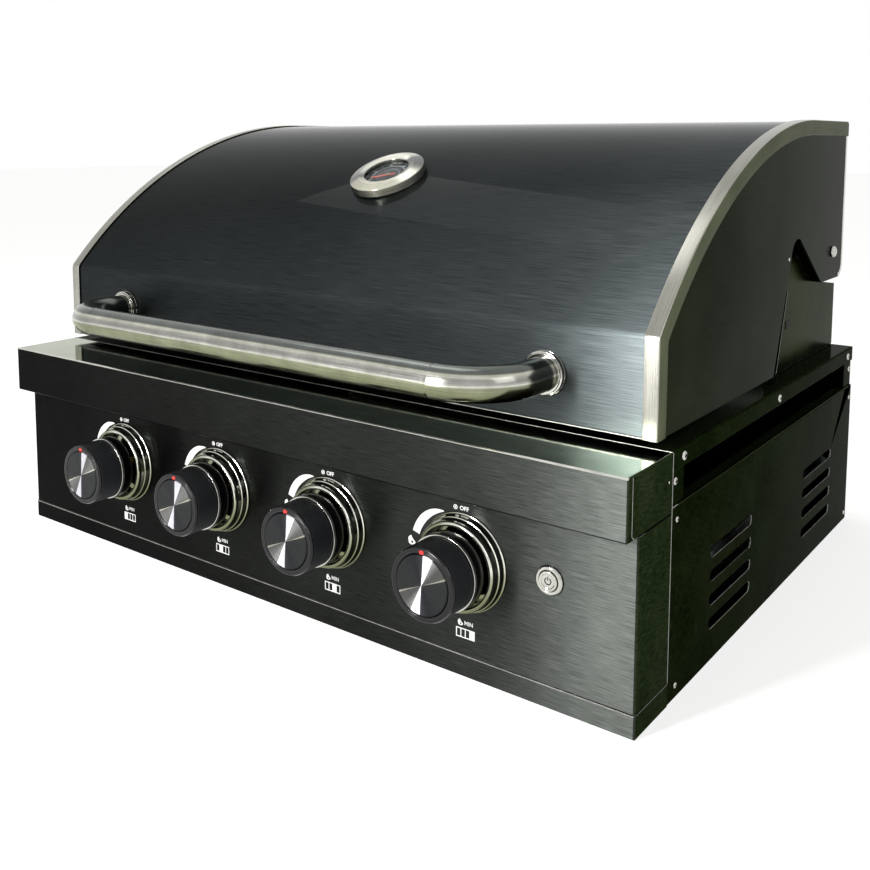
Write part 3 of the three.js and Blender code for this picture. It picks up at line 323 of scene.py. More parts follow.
# Spun aluminium, tinted grey, its turning lines round it; the bow tie of light in each half turn is painted
# highlight
spunAluminium = brushedMetal("spun_aluminium", {
    "dark": "#cfcfcf", "light": "#ffffff", "rough": (0.34, 0.4), "grain": (0.35, 200), "grainShare": 0.8,
    "smudge": 30, "smudgeShare": 0.2, "grainDepth": 0.0008, "wave": 40, "waveDepth": 0.0,
    "bands": {"axis": 0, "length": 79.168, "stops": [
        (0.0, "#3a3b3c"), (0.126, "#3c3d3d"), (0.132, "#aaa899"), (0.144, "#b4b2a4"), (0.15, "#5f5f5d"),
        (0.25, "#575756"), (0.355, "#6a6a68"), (0.366, "#eceaf2"), (0.475, "#f6f4fb"), (0.486, "#3f4044"),
        (0.6, "#333436"), (0.8, "#3b3c3d"), (1.0, "#3a3b3c")]},
    "sockets": {"Anisotropic": 0.9},
})

# Turned brass: warm, with tool lines
brass = brushedMetal("turned_brass", {
    "dark": "#8f6f35", "light": "#c2a05a", "rough": (0.25, 0.4), "grain": (0.5, 30), "grainShare": 0.7,
    "smudge": 20, "smudgeShare": 0.3, "grainDepth": 0.002, "wave": 50, "waveDepth": 0.0,
})


# Hot-dip zinc: flat crystals some 12 mm across, each with its own grey and gloss
def zincSheet(name, look):
    material, tree, shader = startMaterial(name, look)
    place = addNode(tree, "ShaderNodeTexCoord")
    crystal = addNode(tree, "ShaderNodeTexVoronoi",
                      {"Vector": place.outputs["Object"], "Scale": 1000 / look["crystal"]})
    frost = addNode(tree, "ShaderNodeTexNoise",
                    {"Vector": place.outputs["Object"], "Scale": 900.0, "Detail": 3.0})
    grey = addNode(tree, "ShaderNodeSeparateColor", {"Color": crystal.outputs["Color"]})
    both = addNode(tree, "ShaderNodeMath", {0: grey.outputs[0], 1: frost.outputs["Fac"]},
                   operation="MULTIPLY", use_clamp=True)
    colourBy(tree, shader, both.outputs[0], look)
    return material


zinc = zincSheet("galvanised_steel", {"dark": "#7c8083", "light": "#b3b7b9", "rough": (0.32, 0.55),
                                      "crystal": 12})


# Rough surfaces: fine noise in colour, roughness and height, grit and its depth in millimetres
def grittySurface(name, dark, light, rough, grit, depth, metallic=0.0):
    look = {"dark": dark, "light": light, "rough": rough, "metallic": metallic}
    material, tree, shader = startMaterial(name, look)
    place = addNode(tree, "ShaderNodeTexCoord")
    noise = addNode(tree, "ShaderNodeTexNoise", {"Vector": place.outputs["Object"], "Scale": 1000 / grit,
                                                 "Detail": 5.0, "Roughness": 0.7})
    colourBy(tree, shader, noise.outputs["Fac"], look)
    bump = addNode(tree, "ShaderNodeBump", {"Height": noise.outputs["Fac"], "Strength": 1.0,
                                            "Distance": depth * mm})
    tree.links.new(bump.outputs["Normal"], shader.inputs["Normal"])
    return material


# Cast iron under matt enamel: black, pebbled, dull
castIron = grittySurface("enamelled_cast_iron", "#0f0f10", "#242423", (0.45, 0.75), 2.5, 0.12)

# Anodised knob: a body with a soft sheen, whose knurl is in the mesh, and a smooth skirt behind it
knobBlack = grittySurface("black_anodised_knob", "#252628", "#3d3f42", (0.22, 0.38), 0.6, 0.01, 0.85)
knobGloss = grittySurface("black_anodised_skirt", "#070708", "#0e0e10", (0.12, 0.2), 1.5, 0.002, 0.3)

# Moulded plastic of the ignition box: black with spark-eroded texture
moulded = grittySurface("moulded_black_plastic", "#111213", "#1b1c1e", (0.4, 0.6), 0.4, 0.02)

# Screen-printed enamel inks with a fine tooth, the dial's card and the needle's lacquer
whiteInk = grittySurface("white_ink", "#e4e6e3", "#f4f5f2", (0.45, 0.6), 0.5, 0.003)
greyInk = grittySurface("grey_ink", "#7d8687", "#a3acad", (0.45, 0.6), 0.5, 0.003)
redInk = grittySurface("red_enamel", "#c8231d", "#e0352c", (0.3, 0.45), 0.5, 0.004)
dialBlack = grittySurface("dial_card", "#070808", "#101213", (0.5, 0.65), 0.4, 0.002)
needleRed = grittySurface("needle_red", "#d8402f", "#f06a52", (0.35, 0.5), 0.5, 0.002)

# Painted shade: the dark inside of ports, wells and holes; also the black core of the printed flames
holeShadeAndInkBlack = grittySurface("burner_port", "#050505", "#0d0c0b", (0.8, 0.95), 0.5, 0.0)

# Soda-lime glass over the dial
glass = startMaterial("gauge_glass", {
    "dark": "#f4f8f8", "rough": (0.0, 0.0), "metallic": 0.0,
    "sockets": {"Transmission Weight": 1.0, "IOR": 1.07},
})[0]
print("materials made:", len(bpy.data.materials))


# Rounds each corner of an outline: the two sides and the corner itself steer a short curved stretch
def softened(points, radius, steps=4, closed=True):
    corner = np.asarray(points, float)
    before = np.roll(corner, 1, 0) - corner
    after = np.roll(corner, -1, 0) - corner
    lengthBefore = np.linalg.norm(before, axis=1, keepdims=True)
    lengthAfter = np.linalg.norm(after, axis=1, keepdims=True)
    reach = np.minimum(np.broadcast_to(np.asarray(radius, float), len(corner))[:, None],
                       0.45 * np.minimum(lengthBefore, lengthAfter))
    if not closed:
        reach[[0, -1]] = 0
    start = corner + before / np.maximum(lengthBefore, 1e-9) * reach
    end = corner + after / np.maximum(lengthAfter, 1e-9) * reach
    s = np.linspace(0, 1, steps + 1)[None, :, None]
    curve = (1 - s) ** 2 * start[:, None] + 2 * s * (1 - s) * corner[:, None] + s ** 2 * end[:, None]
    curve = curve.reshape(-1, 2)
    if not closed:
        curve = curve[steps:-steps]
    return curve


# Distance along a line of points, zero at its start
def lengthAlong(points):
    return np.concatenate([[0], np.cumsum(np.linalg.norm(np.diff(points, axis=0), axis=1))])


# Points of a round arc, angles in half turns
def arcLine(centre, radius, start, end, steps):
    angle = np.linspace(start, end, steps + 1) * math.pi
    return np.stack([centre[0] + radius * np.cos(angle), centre[1] + radius * np.sin(angle)], 1)


# A closed profile: its first point stands again at its end
def ringOf(profile):
    return np.concatenate([profile, profile[:1]])


# A line of Y and Z at one value of X
def atX(x, line):
    return np.concatenate([np.full((len(line), 1), x), line], 1)


# A line straight across the grill, at one Y and Z
def acrossX(half, y, z):
    return [(-half, y, z), (half, y, z)]


# Joins doubled points, distance in metres, and turns all faces outwards
def cleanMesh(mesh, distance=2e-6):
    work = bmesh.new()
    work.from_mesh(mesh)
    bmesh.ops.remove_doubles(work, verts=work.verts, dist=distance)
    bmesh.ops.recalc_face_normals(work, faces=work.faces)
    work.to_mesh(mesh)
    work.free()


# A mesh from grids of places (..., rows, columns, 3) in millimetres and their brush map in millimetres
def gridMesh(name, places, brush):
    rows, columns = places.shape[-3:-1]
    index = np.arange(places[..., 0].size).reshape(-1, rows, columns)
    quads = np.stack([index[:, :-1, :-1], index[:, 1:, :-1], index[:, 1:, 1:], index[:, :-1, 1:]], -1)
    quads = quads.reshape(-1, 4)
    mesh = bpy.data.meshes.new(name)
    mesh.from_pydata((places.reshape(-1, 3) * mm).tolist(), [], quads.tolist())
    layer = mesh.uv_layers.new(name="brush")
    layer.data.foreach_set("uv", (brush.reshape(-1, 2)[quads.ravel()] * mm).ravel())
    cleanMesh(mesh)
    return mesh


# Turned shape: a profile of radius and height carried round the axis; the brush map runs round it
def turnedGrid(profile, sides, radiusAt=None):
    profile = np.asarray(profile, float)
    angle = np.linspace(0, 2 * math.pi, sides + 1)
    radius = np.broadcast_to(profile[:, :1], (len(profile), sides + 1)).copy()
    if radiusAt is not None:
        radius += radiusAt(angle[None, :], profile[:, 1:])
    places = np.stack([radius * np.cos(angle), radius * np.sin(angle),
                       np.broadcast_to(profile[:, 1:], radius.shape)], -1)
    places[:, -1] = places[:, 0]
    around = angle[None, :] * profile[:, 0].max()
    brush = np.stack(np.broadcast_arrays(around, lengthAlong(profile)[:, None]), -1)
    return places, brush


# Moves places from their own axes to the grill: origin, then where their X, Y and Z point
def placed(places, origin, axes):
    return places @ np.array(axes, float) + np.asarray(origin, float)


# The same for a grid with its brush map, which stays as it is
def laid(grid, origin, axes):
    return placed(grid[0], origin, axes), grid[1]


# The same grid at many origins
def repeated(places, brush, origins):
    spots = np.asarray(origins, float)[:, None, None, :]
    return places[None] + spots, np.broadcast_to(brush, (len(origins), *brush.shape))


# A section carried along stations: closes the section and fans each end from a centre
def carried(stations, centres, brush):
    places = np.concatenate([stations, stations[:, :1]], 1)
    first = np.broadcast_to(centres[0], places[:1].shape)
    last = np.broadcast_to(centres[-1], places[:1].shape)
    brush = np.concatenate([brush[:1], brush, brush[-1:]], 0)
    return np.concatenate([first, places, last], 0), brush


# A flat ring sector, thin solid: radius between two values, angle between two values, height between two
def sectorGrid(inner, outer, start, end, low, high, steps):
    angle = np.radians(np.linspace(start, end, steps + 1))[:, None]
    radius = np.array([inner, outer, outer, inner])[None, :]
    level = np.array([low, low, high, high])[None, :]
    section = np.stack([radius * np.cos(angle), radius * np.sin(angle), level + 0 * angle], -1)
    lengthRound = np.broadcast_to(angle * outer, (steps + 1, 5))
    width = np.broadcast_to(np.array([0, 1, 1.2, 2.2, 2.4]) * (outer - inner), (steps + 1, 5))
    return carried(section, section.mean(1, keepdims=True), np.stack([lengthRound, width], -1))


# A section carried along stations and fanned from its own middles, for small pieces that need no brush map
def closedRun(stations):
    rows, corners = stations.shape[:2]
    return carried(stations, stations.mean(1, keepdims=True), np.zeros((rows, corners + 1, 2)))


# Many small blocks: two rings of four corners each, closed round and at both ends
def blockGrid(rings):
    block = np.stack(rings, 1)
    block = np.concatenate([block, block[:, :, :1]], 2)
    ends = block[:, :, :4].mean(2, keepdims=True).repeat(5, 2)
    block = np.concatenate([ends[:, :1], block, ends[:, 1:]], 1)
    return block, block[..., :2]


# Brush map of flat sheet: u runs along the brush direction laid into each face, v across it
def mapFlat(mesh, along, fallback):
    count = len(mesh.loops)
    corner = np.empty(count, int)
    mesh.loops.foreach_get("vertex_index", corner)
    place = np.empty(len(mesh.vertices) * 3)
    mesh.vertices.foreach_get("co", place)
    place = place.reshape(-1, 3)[corner]
    normal = np.empty(len(mesh.polygons) * 3)
    mesh.polygons.foreach_get("normal", normal)
    total = np.empty(len(mesh.polygons), int)
    mesh.polygons.foreach_get("loop_total", total)
    normal = np.repeat(normal.reshape(-1, 3), total, axis=0)
    wanted = np.broadcast_to(np.asarray(along, float), normal.shape)
    facing = np.abs((normal * wanted).sum(1, keepdims=True)) > 0.9
    wanted = np.where(facing, np.asarray(fallback, float), wanted)
    flat = wanted - normal * (normal * wanted).sum(1, keepdims=True)
    flat /= np.maximum(np.linalg.norm(flat, axis=1, keepdims=True), 1e-9)
    across = np.cross(normal, flat)
    layer = mesh.uv_layers.get("brush") or mesh.uv_layers.new(name="brush")
    layer.data.foreach_set("uv", np.stack([(place * flat).sum(1), (place * across).sum(1)], 1).ravel())
    mesh.uv_layers.active = layer


# Puts a finished mesh on its body: smooth where it bends gently, crisp where it turns hard
def addPiece(name, mesh, materials, body, nodes=(), crisp=32):
    piece = addObject(name, mesh)
    for material in materials:
        mesh.materials.append(material)
    mesh.shade_smooth()
    mesh.set_sharp_from_angle(angle=math.radians(crisp))
    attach(piece, body)
    if nodes:
        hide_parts(*nodes)
    return piece


def gridPiece(name, grid, material, body, nodes=(), crisp=32):
    return addPiece(name, gridMesh(name, *grid), [material], body, nodes, crisp)


# Shades a rounded piece by its larger faces, so that its flats look flat
def evenNormals(piece):
    even = piece.modifiers.new("even_normals", "WEIGHTED_NORMAL")
    even.keep_sharp = True
    even.weight = 80


# Folds and cut edges of a CAD sheet. Outside folds get the bend radius, cut edges a small break; faces
# narrower than thin are cut edges and show the second material. Level faces above the height topmost show
# the third, and faces that look sideways the one with the number ends.
def dressSheet(node, materials, body="body", along=(1, 0, 0), fallback=(0, 1, 0), fold=1.6, burr=0.22,
               thin=2.0, foldAngle=40, topmost=None, ends=None):
    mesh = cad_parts[node].data.copy()
    mesh.materials.clear()
    for extra in ("custom_normal", "UVMap"):
        if extra in mesh.attributes:
            mesh.attributes.remove(mesh.attributes[extra])
    work = bmesh.new()
    work.from_mesh(mesh)
    bmesh.ops.remove_doubles(work, verts=work.verts, dist=2e-6)
    bmesh.ops.dissolve_limit(work, angle_limit=math.radians(0.6), verts=work.verts, edges=work.edges)
    bmesh.ops.dissolve_degenerate(work, dist=1e-6, edges=work.edges)
    weight = work.edges.layers.float.new("bevel_weight_edge")
    width = {face: 2 * face.calc_area() / max(face.calc_perimeter(), 1e-9) / mm for face in work.faces}
    for face in work.faces:
        face.material_index = int(width[face] < thin and len(materials) > 1)
        if topmost and face.normal.z > 0.9 and face.calc_center_median().z > topmost * mm:
            face.material_index = 2
        if ends and abs(face.normal.x) > 0.9 and width[face] > thin:
            face.material_index = ends
    for edge in work.edges:
        if len(edge.link_faces) == 2 and edge.is_convex and edge.calc_face_angle(0) > math.radians(foldAngle):
            narrow = min(width[face] for face in edge.link_faces) < thin * 1.5
            edge[weight] = burr / fold if narrow else 1.0
    work.to_mesh(mesh)
    work.free()
    mesh.name = node + "_dressed"
    mapFlat(mesh, along, fallback)
    piece = addPiece(node + "_dressed", mesh, materials, body, (node,))
    rounded = piece.modifiers.new("folds", "BEVEL")
    rounded.limit_method = "WEIGHT"
    rounded.width = fold * mm
    rounded.segments = 3
    rounded.use_clamp_overlap = False
    rounded.harden_normals = False
    evenNormals(piece)


# A folded lip, hem or bare edge: a rounded bar carried along a line of points, wide across the face and
# deep along the way the face looks
def edgeGrid(points, outward, wide, deep):
    path = np.asarray(points, float)
    step = np.gradient(path, axis=0)
    step /= np.linalg.norm(step, axis=1, keepdims=True)
    up = np.broadcast_to(np.asarray(outward, float), path.shape)
    up = up - step * (up * step).sum(1, keepdims=True)
    up /= np.linalg.norm(up, axis=1, keepdims=True)
    across = np.cross(step, up)
    corners = [(-wide / 2, -deep / 2), (wide / 2, -deep / 2), (wide / 2, deep / 2), (-wide / 2, deep / 2)]
    section = softened(corners, min(wide, deep) * 0.4, 3)
    stations = path[:, None] + across[:, None] * section[:, :1] + up[:, None] * section[:, 1:]
    loop = np.linspace(0, 2 * (wide + deep), len(section) + 1)[None, :]
    brush = np.stack(np.broadcast_arrays(lengthAlong(path)[:, None], loop), -1)
    return carried(stations, path, brush)


def edgeBar(name, points, outward, wide, deep, material, body="body"):
    gridPiece(name, edgeGrid(points, outward, wide, deep), material, body)


bothSides = (("right", 1), ("left", -1))
coated = [mirrorBlack, bareEdgeAndHighlight]
front = [brushedBlack, bareEdgeAndHighlight, returnBlack]
dressSheet("base_strip", front, ends=2)
dressSheet("control_panel", front, ends=2)
dressSheet("front_ledge", [brushedBlack, bareEdgeAndHighlight, ledgeMirror, returnBlack], topmost=209,
           ends=3)
for side, sign in bothSides:
    dressSheet(side + "_side_panel", coated, along=(0, 1, 0), fallback=(0, 0, 1))
    dressSheet(side + "_top_rail", coated, along=(0, 1, 0), fallback=(1, 0, 0))
dressSheet("inner_frame", [mirrorBlack, mirrorBlack], fold=1.0)
dressSheet("rear_panel", coated)
dressSheet("bottom_pan", [zinc])
dressSheet("drip_tray", [zinc], "tray", along=(0, 1, 0), fallback=(1, 0, 0), fold=0.9)
dressSheet("firebox", [sootBlack], fold=1.2)
dressSheet("rear_shield", [millSteelInShade, bareEdgeAndHighlight], along=(0, 1, 0), fallback=(1, 0, 0))
dressSheet("flame_tamers", [satinSteel], along=(0, 1, 0), fold=0.8)
dressSheet("igniter_bar", [zinc], fold=0.4)
dressSheet("ignition_module", [moulded], fold=2.0)
for side, sign in bothSides:
    dressSheet(side + "_grate", [castIron], fold=1.8)

# Light lines along hems and seams: in part bare steel, in part painted highlight. Each bar has its ends, the
# way its face looks, width and depth.
seams = {"half": 389.5, "y": -234.95, "stripY": -295.5, "stripTop": 18.5, "deckTop": 209.9, "ledgeY": -314.4,
         "ledgeTop": 209.4, "sideX": 390.0, "sideFoot": 19.8, "sideTop": 209.8, "flangeTop": (-308.1, 209.0),
         "flangeBend": (-304.5, 165.5), "flangeRadius": 3.6, "rivetY": -242.4, "rivetZ": 187.9,
         "holeX": 366.2, "holeEnds": ((114, 258.2), (130, 258.2)), "panelTop": 164.0, "slotFrontY": -222,
         "slotRearY": 284}
half, seamY, panelTop = seams["half"], seams["y"], seams["panelTop"]
edgeBar("base_strip_hem", acrossX(half, seams["stripY"], seams["stripTop"]), (0, -1, 0), 1.1, 0.9, bareEdgeAndHighlight)
edgeBar("deck_seam_edge", acrossX(half, seamY, seams["deckTop"]), (0, 0, 1), 0.9, 0.8, bareEdgeAndHighlight)
edgeBar("ledge_top_edge", acrossX(half, seams["ledgeY"], seams["ledgeTop"]), (0, -0.7, 0.7), 1.9, 0.6,
        hemSteelAndHighlight)
louvre = {"count": 4, "foot": 34.5, "pitch": 21.7, "height": 10.4, "half": 51.5, "middles": (-96.5, 166.5)}
slots = [(0, middle, louvre["foot"] + k * louvre["pitch"]) for middle in louvre["middles"]
         for k in range(louvre["count"])]
flange = arcLine(seams["flangeBend"], seams["flangeRadius"], 1, 1.5, 6)
flange = np.concatenate([[seams["flangeTop"]], flange])
rim = arcLine((louvre["half"] - louvre["height"] / 2, 0), louvre["height"] / 2 + 0.1, -0.42, 0.3, 12)
for side, sign in bothSides:
    out = (sign, 0, 0)
    edgeX = sign * seams["sideX"]
    seam = [(seamY, seams["sideFoot"]), (seamY, seams["sideTop"])]
    edgeBar(side + "_seam_edge", atX(edgeX, seam), out, 0.9, 0.8, bareEdgeAndHighlight)
    edgeBar(side + "_ledge_flange", atX(edgeX, flange), out, 0.8, 0.5, bareEdgeAndHighlight)
    rims = repeated(*edgeGrid(atX(edgeX - sign * 0.1, rim), out, 0.6, 0.4), slots)
    gridPiece(side + "_louvre_rims", rims, bareEdgeAndHighlight, "body")
    rivet = [(edgeX + sign * x, seams["rivetY"], seams["rivetZ"]) for x in (-0.2, 0.3)]
    edgeBar(side + "_ledge_rivet", rivet, (0, 0, 1), 2.0, 2.0, hemSteelAndHighlight)
    # The hole in each cheek: a dark bar, painted shade
    edgeBar(side + "_cheek_hole", atX(sign * seams["holeX"], seams["holeEnds"]), out, 8.2, 0.6, holeShadeAndInkBlack)
    lip = [(seams["slotFrontY"], panelTop), (seams["slotRearY"], panelTop)]
    edgeBar(side + "_slot_lip", atX(edgeX - sign, lip), (0, 0, 1), 2.2, 1.6, millSteelInShade)
    corner = [(seamY + 0.6, panelTop + 0.2), (seams["slotFrontY"], panelTop + 0.2)]
    edgeBar(side + "_slot_corner", atX(edgeX - sign * 0.6, corner), (sign * 0.7, 0, 0.7), 0.9, 0.7, bareEdgeAndHighlight)
print("sheet metal dressed")

# The lid in side view, distances in Y and Z
lid = {
    "halfWidth": 380, "frontY": -243, "rearY": 275, "foot": 218, "top": 475, "arcRadius": 520,
    "creaseHeight": 302, "skinInset": 1.5, "sheet": 1.2, "skinHalf": 377, "hem": 12, "backFoot": 352,
    "creaseSoft": 4, "rearSoft": 5, "trimBackFoot": 458, "trimFace": 13, "trimSide": 16, "arcSteps": 72,
    "apronHalf": 348, "apronFoot": 299, "apronY": 272.9, "footHemHalf": 366, "footHemY": -241.7,
}
lidArcZ = lid["top"] - lid["arcRadius"]
lidArcY = lid["frontY"] + math.sqrt(lid["arcRadius"] ** 2 - (lid["creaseHeight"] - lidArcZ) ** 2)


# The lid's outline moved inwards by an inset: straight front, crease, arc about its centre, flat top, rear
def lidLine(inset, backFoot, hem=0.0):
    radius = lid["arcRadius"] - inset
    faceY = lid["frontY"] + inset
    crease = math.acos((faceY - lidArcY) / radius)
    angle = np.linspace(crease, math.pi / 2, lid["arcSteps"])
    arc = np.stack([lidArcY + radius * np.cos(angle), lidArcZ + radius * np.sin(angle)], 1)
    rearY = lid["rearY"] - inset
    foot = lid["foot"] + (inset - lid["skinInset"] if hem else 0)
    front = softened([[faceY, foot], arc[0], arc[1] * 0.5 + arc[2] * 0.5], lid["creaseSoft"], 6, False)
    if hem:
        bend = softened([[lid["frontY"] + lid["skinInset"] + hem, foot], [faceY, foot], [faceY, foot + 40]],
                        2.4, 5, False)
        front = np.concatenate([bend[:-1], front[1:]])
    rear = softened([arc[-1], [rearY, lid["top"] - inset], [rearY, backFoot]], lid["rearSoft"], 6, False)
    return np.concatenate([front, arc[2:-1], rear])


# Carries a section of x and inset along the lid's outline
def lidSweep(name, section, centre, backFoot, hem=0.0, uAlongLid=False):
    lines = np.stack([lidLine(inset, backFoot, hem) for _, inset in section], 1)
    x = np.broadcast_to(np.array([point[0] for point in section], float)[None, :], lines.shape[:2])
    stations = np.concatenate([x[..., None], lines], -1)
    middle = lidLine(centre[1], backFoot, hem)
    run = lengthAlong(middle)[:, None]
    loop = lengthAlong(np.asarray([*section, section[0]], float))[None, :]
    brush = np.stack(np.broadcast_arrays(*((run, loop) if uAlongLid else (loop, run))), -1)
    return gridMesh(name, *carried(stations, atX(centre[0], middle), brush))


sheet, skinInset, skinHalf = lid["sheet"], lid["skinInset"], lid["skinHalf"]
skinSection = [(-skinHalf, skinInset), (skinHalf, skinInset), (skinHalf, skinInset + sheet),
               (-skinHalf, skinInset + sheet)]
skin = lidSweep("lid_skin_dressed", skinSection, (0, skinInset + sheet / 2), lid["backFoot"], lid["hem"])
addPiece("lid_skin_dressed", skin, [lidBlack], "lid", ("lid_skin",))
apronTop = lid["backFoot"] + 1
edgeBar("lid_apron", acrossX(lid["apronHalf"], lid["apronY"], (lid["apronFoot"] + apronTop) / 2), (0, 1, 0),
        apronTop - lid["apronFoot"], 1.2, mirrorBlack, "lid")
edgeBar("lid_foot_hem", acrossX(lid["footHemHalf"], lid["footHemY"], lid["foot"] + 0.55), (0, -1, 0), 0.9,
        0.6, bareEdgeAndHighlight, "lid")

outer, face, flank = lid["halfWidth"], lid["trimFace"], lid["trimSide"]
trimSection = softened([(outer - face, 0), (outer, 0), (outer, flank), (outer - sheet, flank),
                        (outer - sheet, sheet), (outer - face, sheet)], [0.3, 1.5, 0.3, 0.3, 0.5, 0.3], 3)
for side, sign in bothSides:
    section = [(sign * x, inset) for x, inset in trimSection]
    trim = lidSweep(side + "_lid_trim_dressed", section, (sign * (outer - sheet * 0.6), sheet * 0.6),
                    lid["trimBackFoot"], uAlongLid=True)
    look = np.empty(len(trim.polygons) * 3)
    trim.polygons.foreach_get("normal", look)
    addPiece(side + "_lid_trim_dressed", trim, [satinSteel, trimShadedSteel], "lid",
             (side + "_lid_trim",))
    # Faces that look sideways take the copy with painted shade
    trim.polygons.foreach_set("material_index", (np.abs(look[::3]) > 0.8).astype(int))
print("lid skin and trims made")


# A flat plate: an outline in Y and Z between two distances from the middle, on one side
def platePiece(name, outline, sign, xs, material, body, nodes=()):
    near, far = (atX(sign * x, outline) for x in xs[::sign])
    count = len(outline)
    order = np.arange(count)
    sides = np.stack([order, np.roll(order, -1), np.roll(order, -1) + count, order + count], 1)
    faces = [order.tolist(), (order[::-1] + count).tolist(), *sides.tolist()]
    mesh = bpy.data.meshes.new(name)
    mesh.from_pydata((np.concatenate([near, far]) * mm).tolist(), [], faces)
    cleanMesh(mesh)
    mapFlat(mesh, (0, 1, 0), (0, 0, 1))
    return addPiece(name, mesh, [material], body, nodes)


# Side plates of the lid: under the trims, with the ear round the hinge bolt and the notch before it
plate = {"outer": 378.5, "thick": 1.2, "earFoot": 296.5, "earCorner": 16, "earFrontY": 194, "notchY": 104,
         "notchZ": 332, "notchRadius": 20, "frontFootY": 40, "rearLip": 4.6, "lipX": 371.9,
         "lipEnds": ((117.3, 347.6), (193.4, 297.4))}
plateRear = lid["rearY"] - skinInset
earMiddle = (plateRear - plate["earCorner"], plate["earFoot"] + plate["earCorner"])
sideOutline = np.concatenate([
    lidLine(skinInset, lid["trimBackFoot"])[:-1],
    arcLine(earMiddle, plate["earCorner"], 0, -0.5, 12),
    [[plate["earFrontY"], plate["earFoot"]]],
    arcLine((plate["notchY"], plate["notchZ"]), plate["notchRadius"], 0.3, 1, 24),
    [[plate["frontFootY"], lid["foot"]]],
])
rearLine = np.concatenate([
    [[plateRear - plate["rearLip"] / 2, lid["top"] - 3]],
    arcLine(earMiddle, plate["earCorner"] - plate["rearLip"] / 2, 0, -0.5, 12),
])

# Inside each cheek, seen through the notch: a small gusset on it, and behind that a black sheet of painted
# shade
cheek = {"gussetXs": (366.05, 366.55), "shadeSheetXs": (364.15, 364.65)}
gusset = softened([(92, 294), (94.4, 324), (132, 332), (213, 299), (216, 294)], [0.5, 3, 4, 3, 0.5], 4)
shadeSheet = softened([(56, 214), (56, 351), (130, 353), (220, 303), (222, 214)], [0.5, 4, 4, 3, 0.5], 4)
for side, sign in bothSides:
    xs = (plate["outer"] - plate["thick"], plate["outer"])
    platePiece(side + "_lid_side_dressed", sideOutline, sign, xs, lidSideBlack, "lid",
               (side + "_lid_side",))
    edgeBar(side + "_lid_rear_lip", atX(sign * (plate["outer"] + 0.1), rearLine), (sign, 0, 0),
            plate["rearLip"], 1.0, hemSteelAndHighlight, "lid")
    edgeBar(side + "_notch_lip", atX(sign * plate["lipX"], plate["lipEnds"]), (0, -0.55, -0.83), 10.4, 1.0,
            lidSideBlack, "lid")
    platePiece(side + "_cheek_gusset", gusset, sign, cheek["gussetXs"], millSteelInShade, "body")
    platePiece(side + "_cheek_shade_sheet", shadeSheet, sign, cheek["shadeSheetXs"], sootBlack, "body")
print("lid sides made")

# Handle: a tube out of the lid, round a bend, across and back, with a low weld bead at each bend
handle = {"halfSpan": 278.0, "height": 259.5, "axisY": -323.0, "radius": 15.2, "bend": 54, "rootY": -241.8,
          "bead": 0.3, "beadWidth": 1.6, "sides": 56}
bendX = handle["halfSpan"] - handle["bend"]
bendY = handle["axisY"] + handle["bend"]


# Middle line: leg, quarter turn about the bend's centre, run to the middle, and the same mirrored
def handleLine():
    leg = np.stack([np.full(5, handle["halfSpan"]), np.linspace(handle["rootY"], bendY, 5)], 1)
    bend = arcLine((bendX, bendY), handle["bend"], 0, -0.5, 28)
    run = np.stack([bendX - np.linspace(0, 1, 90) ** 1.6 * bendX, np.full(90, handle["axisY"])], 1)
    half = np.concatenate([leg[:-1], bend, run[1:]])
    return np.concatenate([half, half[-2::-1] * [-1, 1]])


line = handleLine()
step = np.gradient(line, axis=0)
step /= np.linalg.norm(step, axis=1, keepdims=True)
outward = np.stack([step[:, 1], -step[:, 0]], 1)
offTheRun = line[:, 1] > handle["axisY"] + 1
beadPlaces = np.abs(np.abs(line[:, 0]) - bendX) + 1000 * offTheRun
swell = handle["radius"] + handle["bead"] * np.exp(-(beadPlaces / handle["beadWidth"]) ** 2)
angle = np.linspace(0, 2 * math.pi, handle["sides"], endpoint=False)
flat = line[:, None, :] + outward[:, None, :] * (swell[:, None] * np.cos(angle))[..., None]
height = handle["height"] + swell[:, None] * np.sin(angle)
stations = np.concatenate([flat, height[..., None]], -1)
centres = np.concatenate([line, np.full((len(line), 1), handle["height"])], 1)
loop = np.linspace(0, 2 * math.pi * handle["radius"], handle["sides"] + 1)
brush = np.stack(np.broadcast_arrays(lengthAlong(line)[:, None], loop[None, :]), -1)
gridPiece("handle_tube_dressed", carried(stations, centres, brush), handleSteel, "lid",
          ("handle_tube",), crisp=50)

# Collars where the tube meets the lid: a flat washer, a groove and a rounded ring
collarProfile = ringOf(softened([
    (15.5, 0), (19.5, 0), (19.5, 0.7), (17.0, 0.8), (17.0, 1.5), (19.3, 1.6), (19.3, 5.2), (16.8, 5.3),
    (16.8, 5.9), (17.8, 6.0), (17.6, 6.8), (15.5, 6.8)], 0.3, 3, False))

# Axes of what stands on the front: X right, Y up, Z out of it
frontAxes = ((1, 0, 0), (0, 0, 1), (0, -1, 0))
for side, sign in bothSides:
    root = (sign * handle["halfSpan"], handle["rootY"], handle["height"])
    collar = laid(turnedGrid(collarProfile, 72), root, frontAxes)
    gridPiece(side + "_handle_collar_dressed", collar, chrome, "lid",
              (side + "_handle_collar",))
print("handle made")

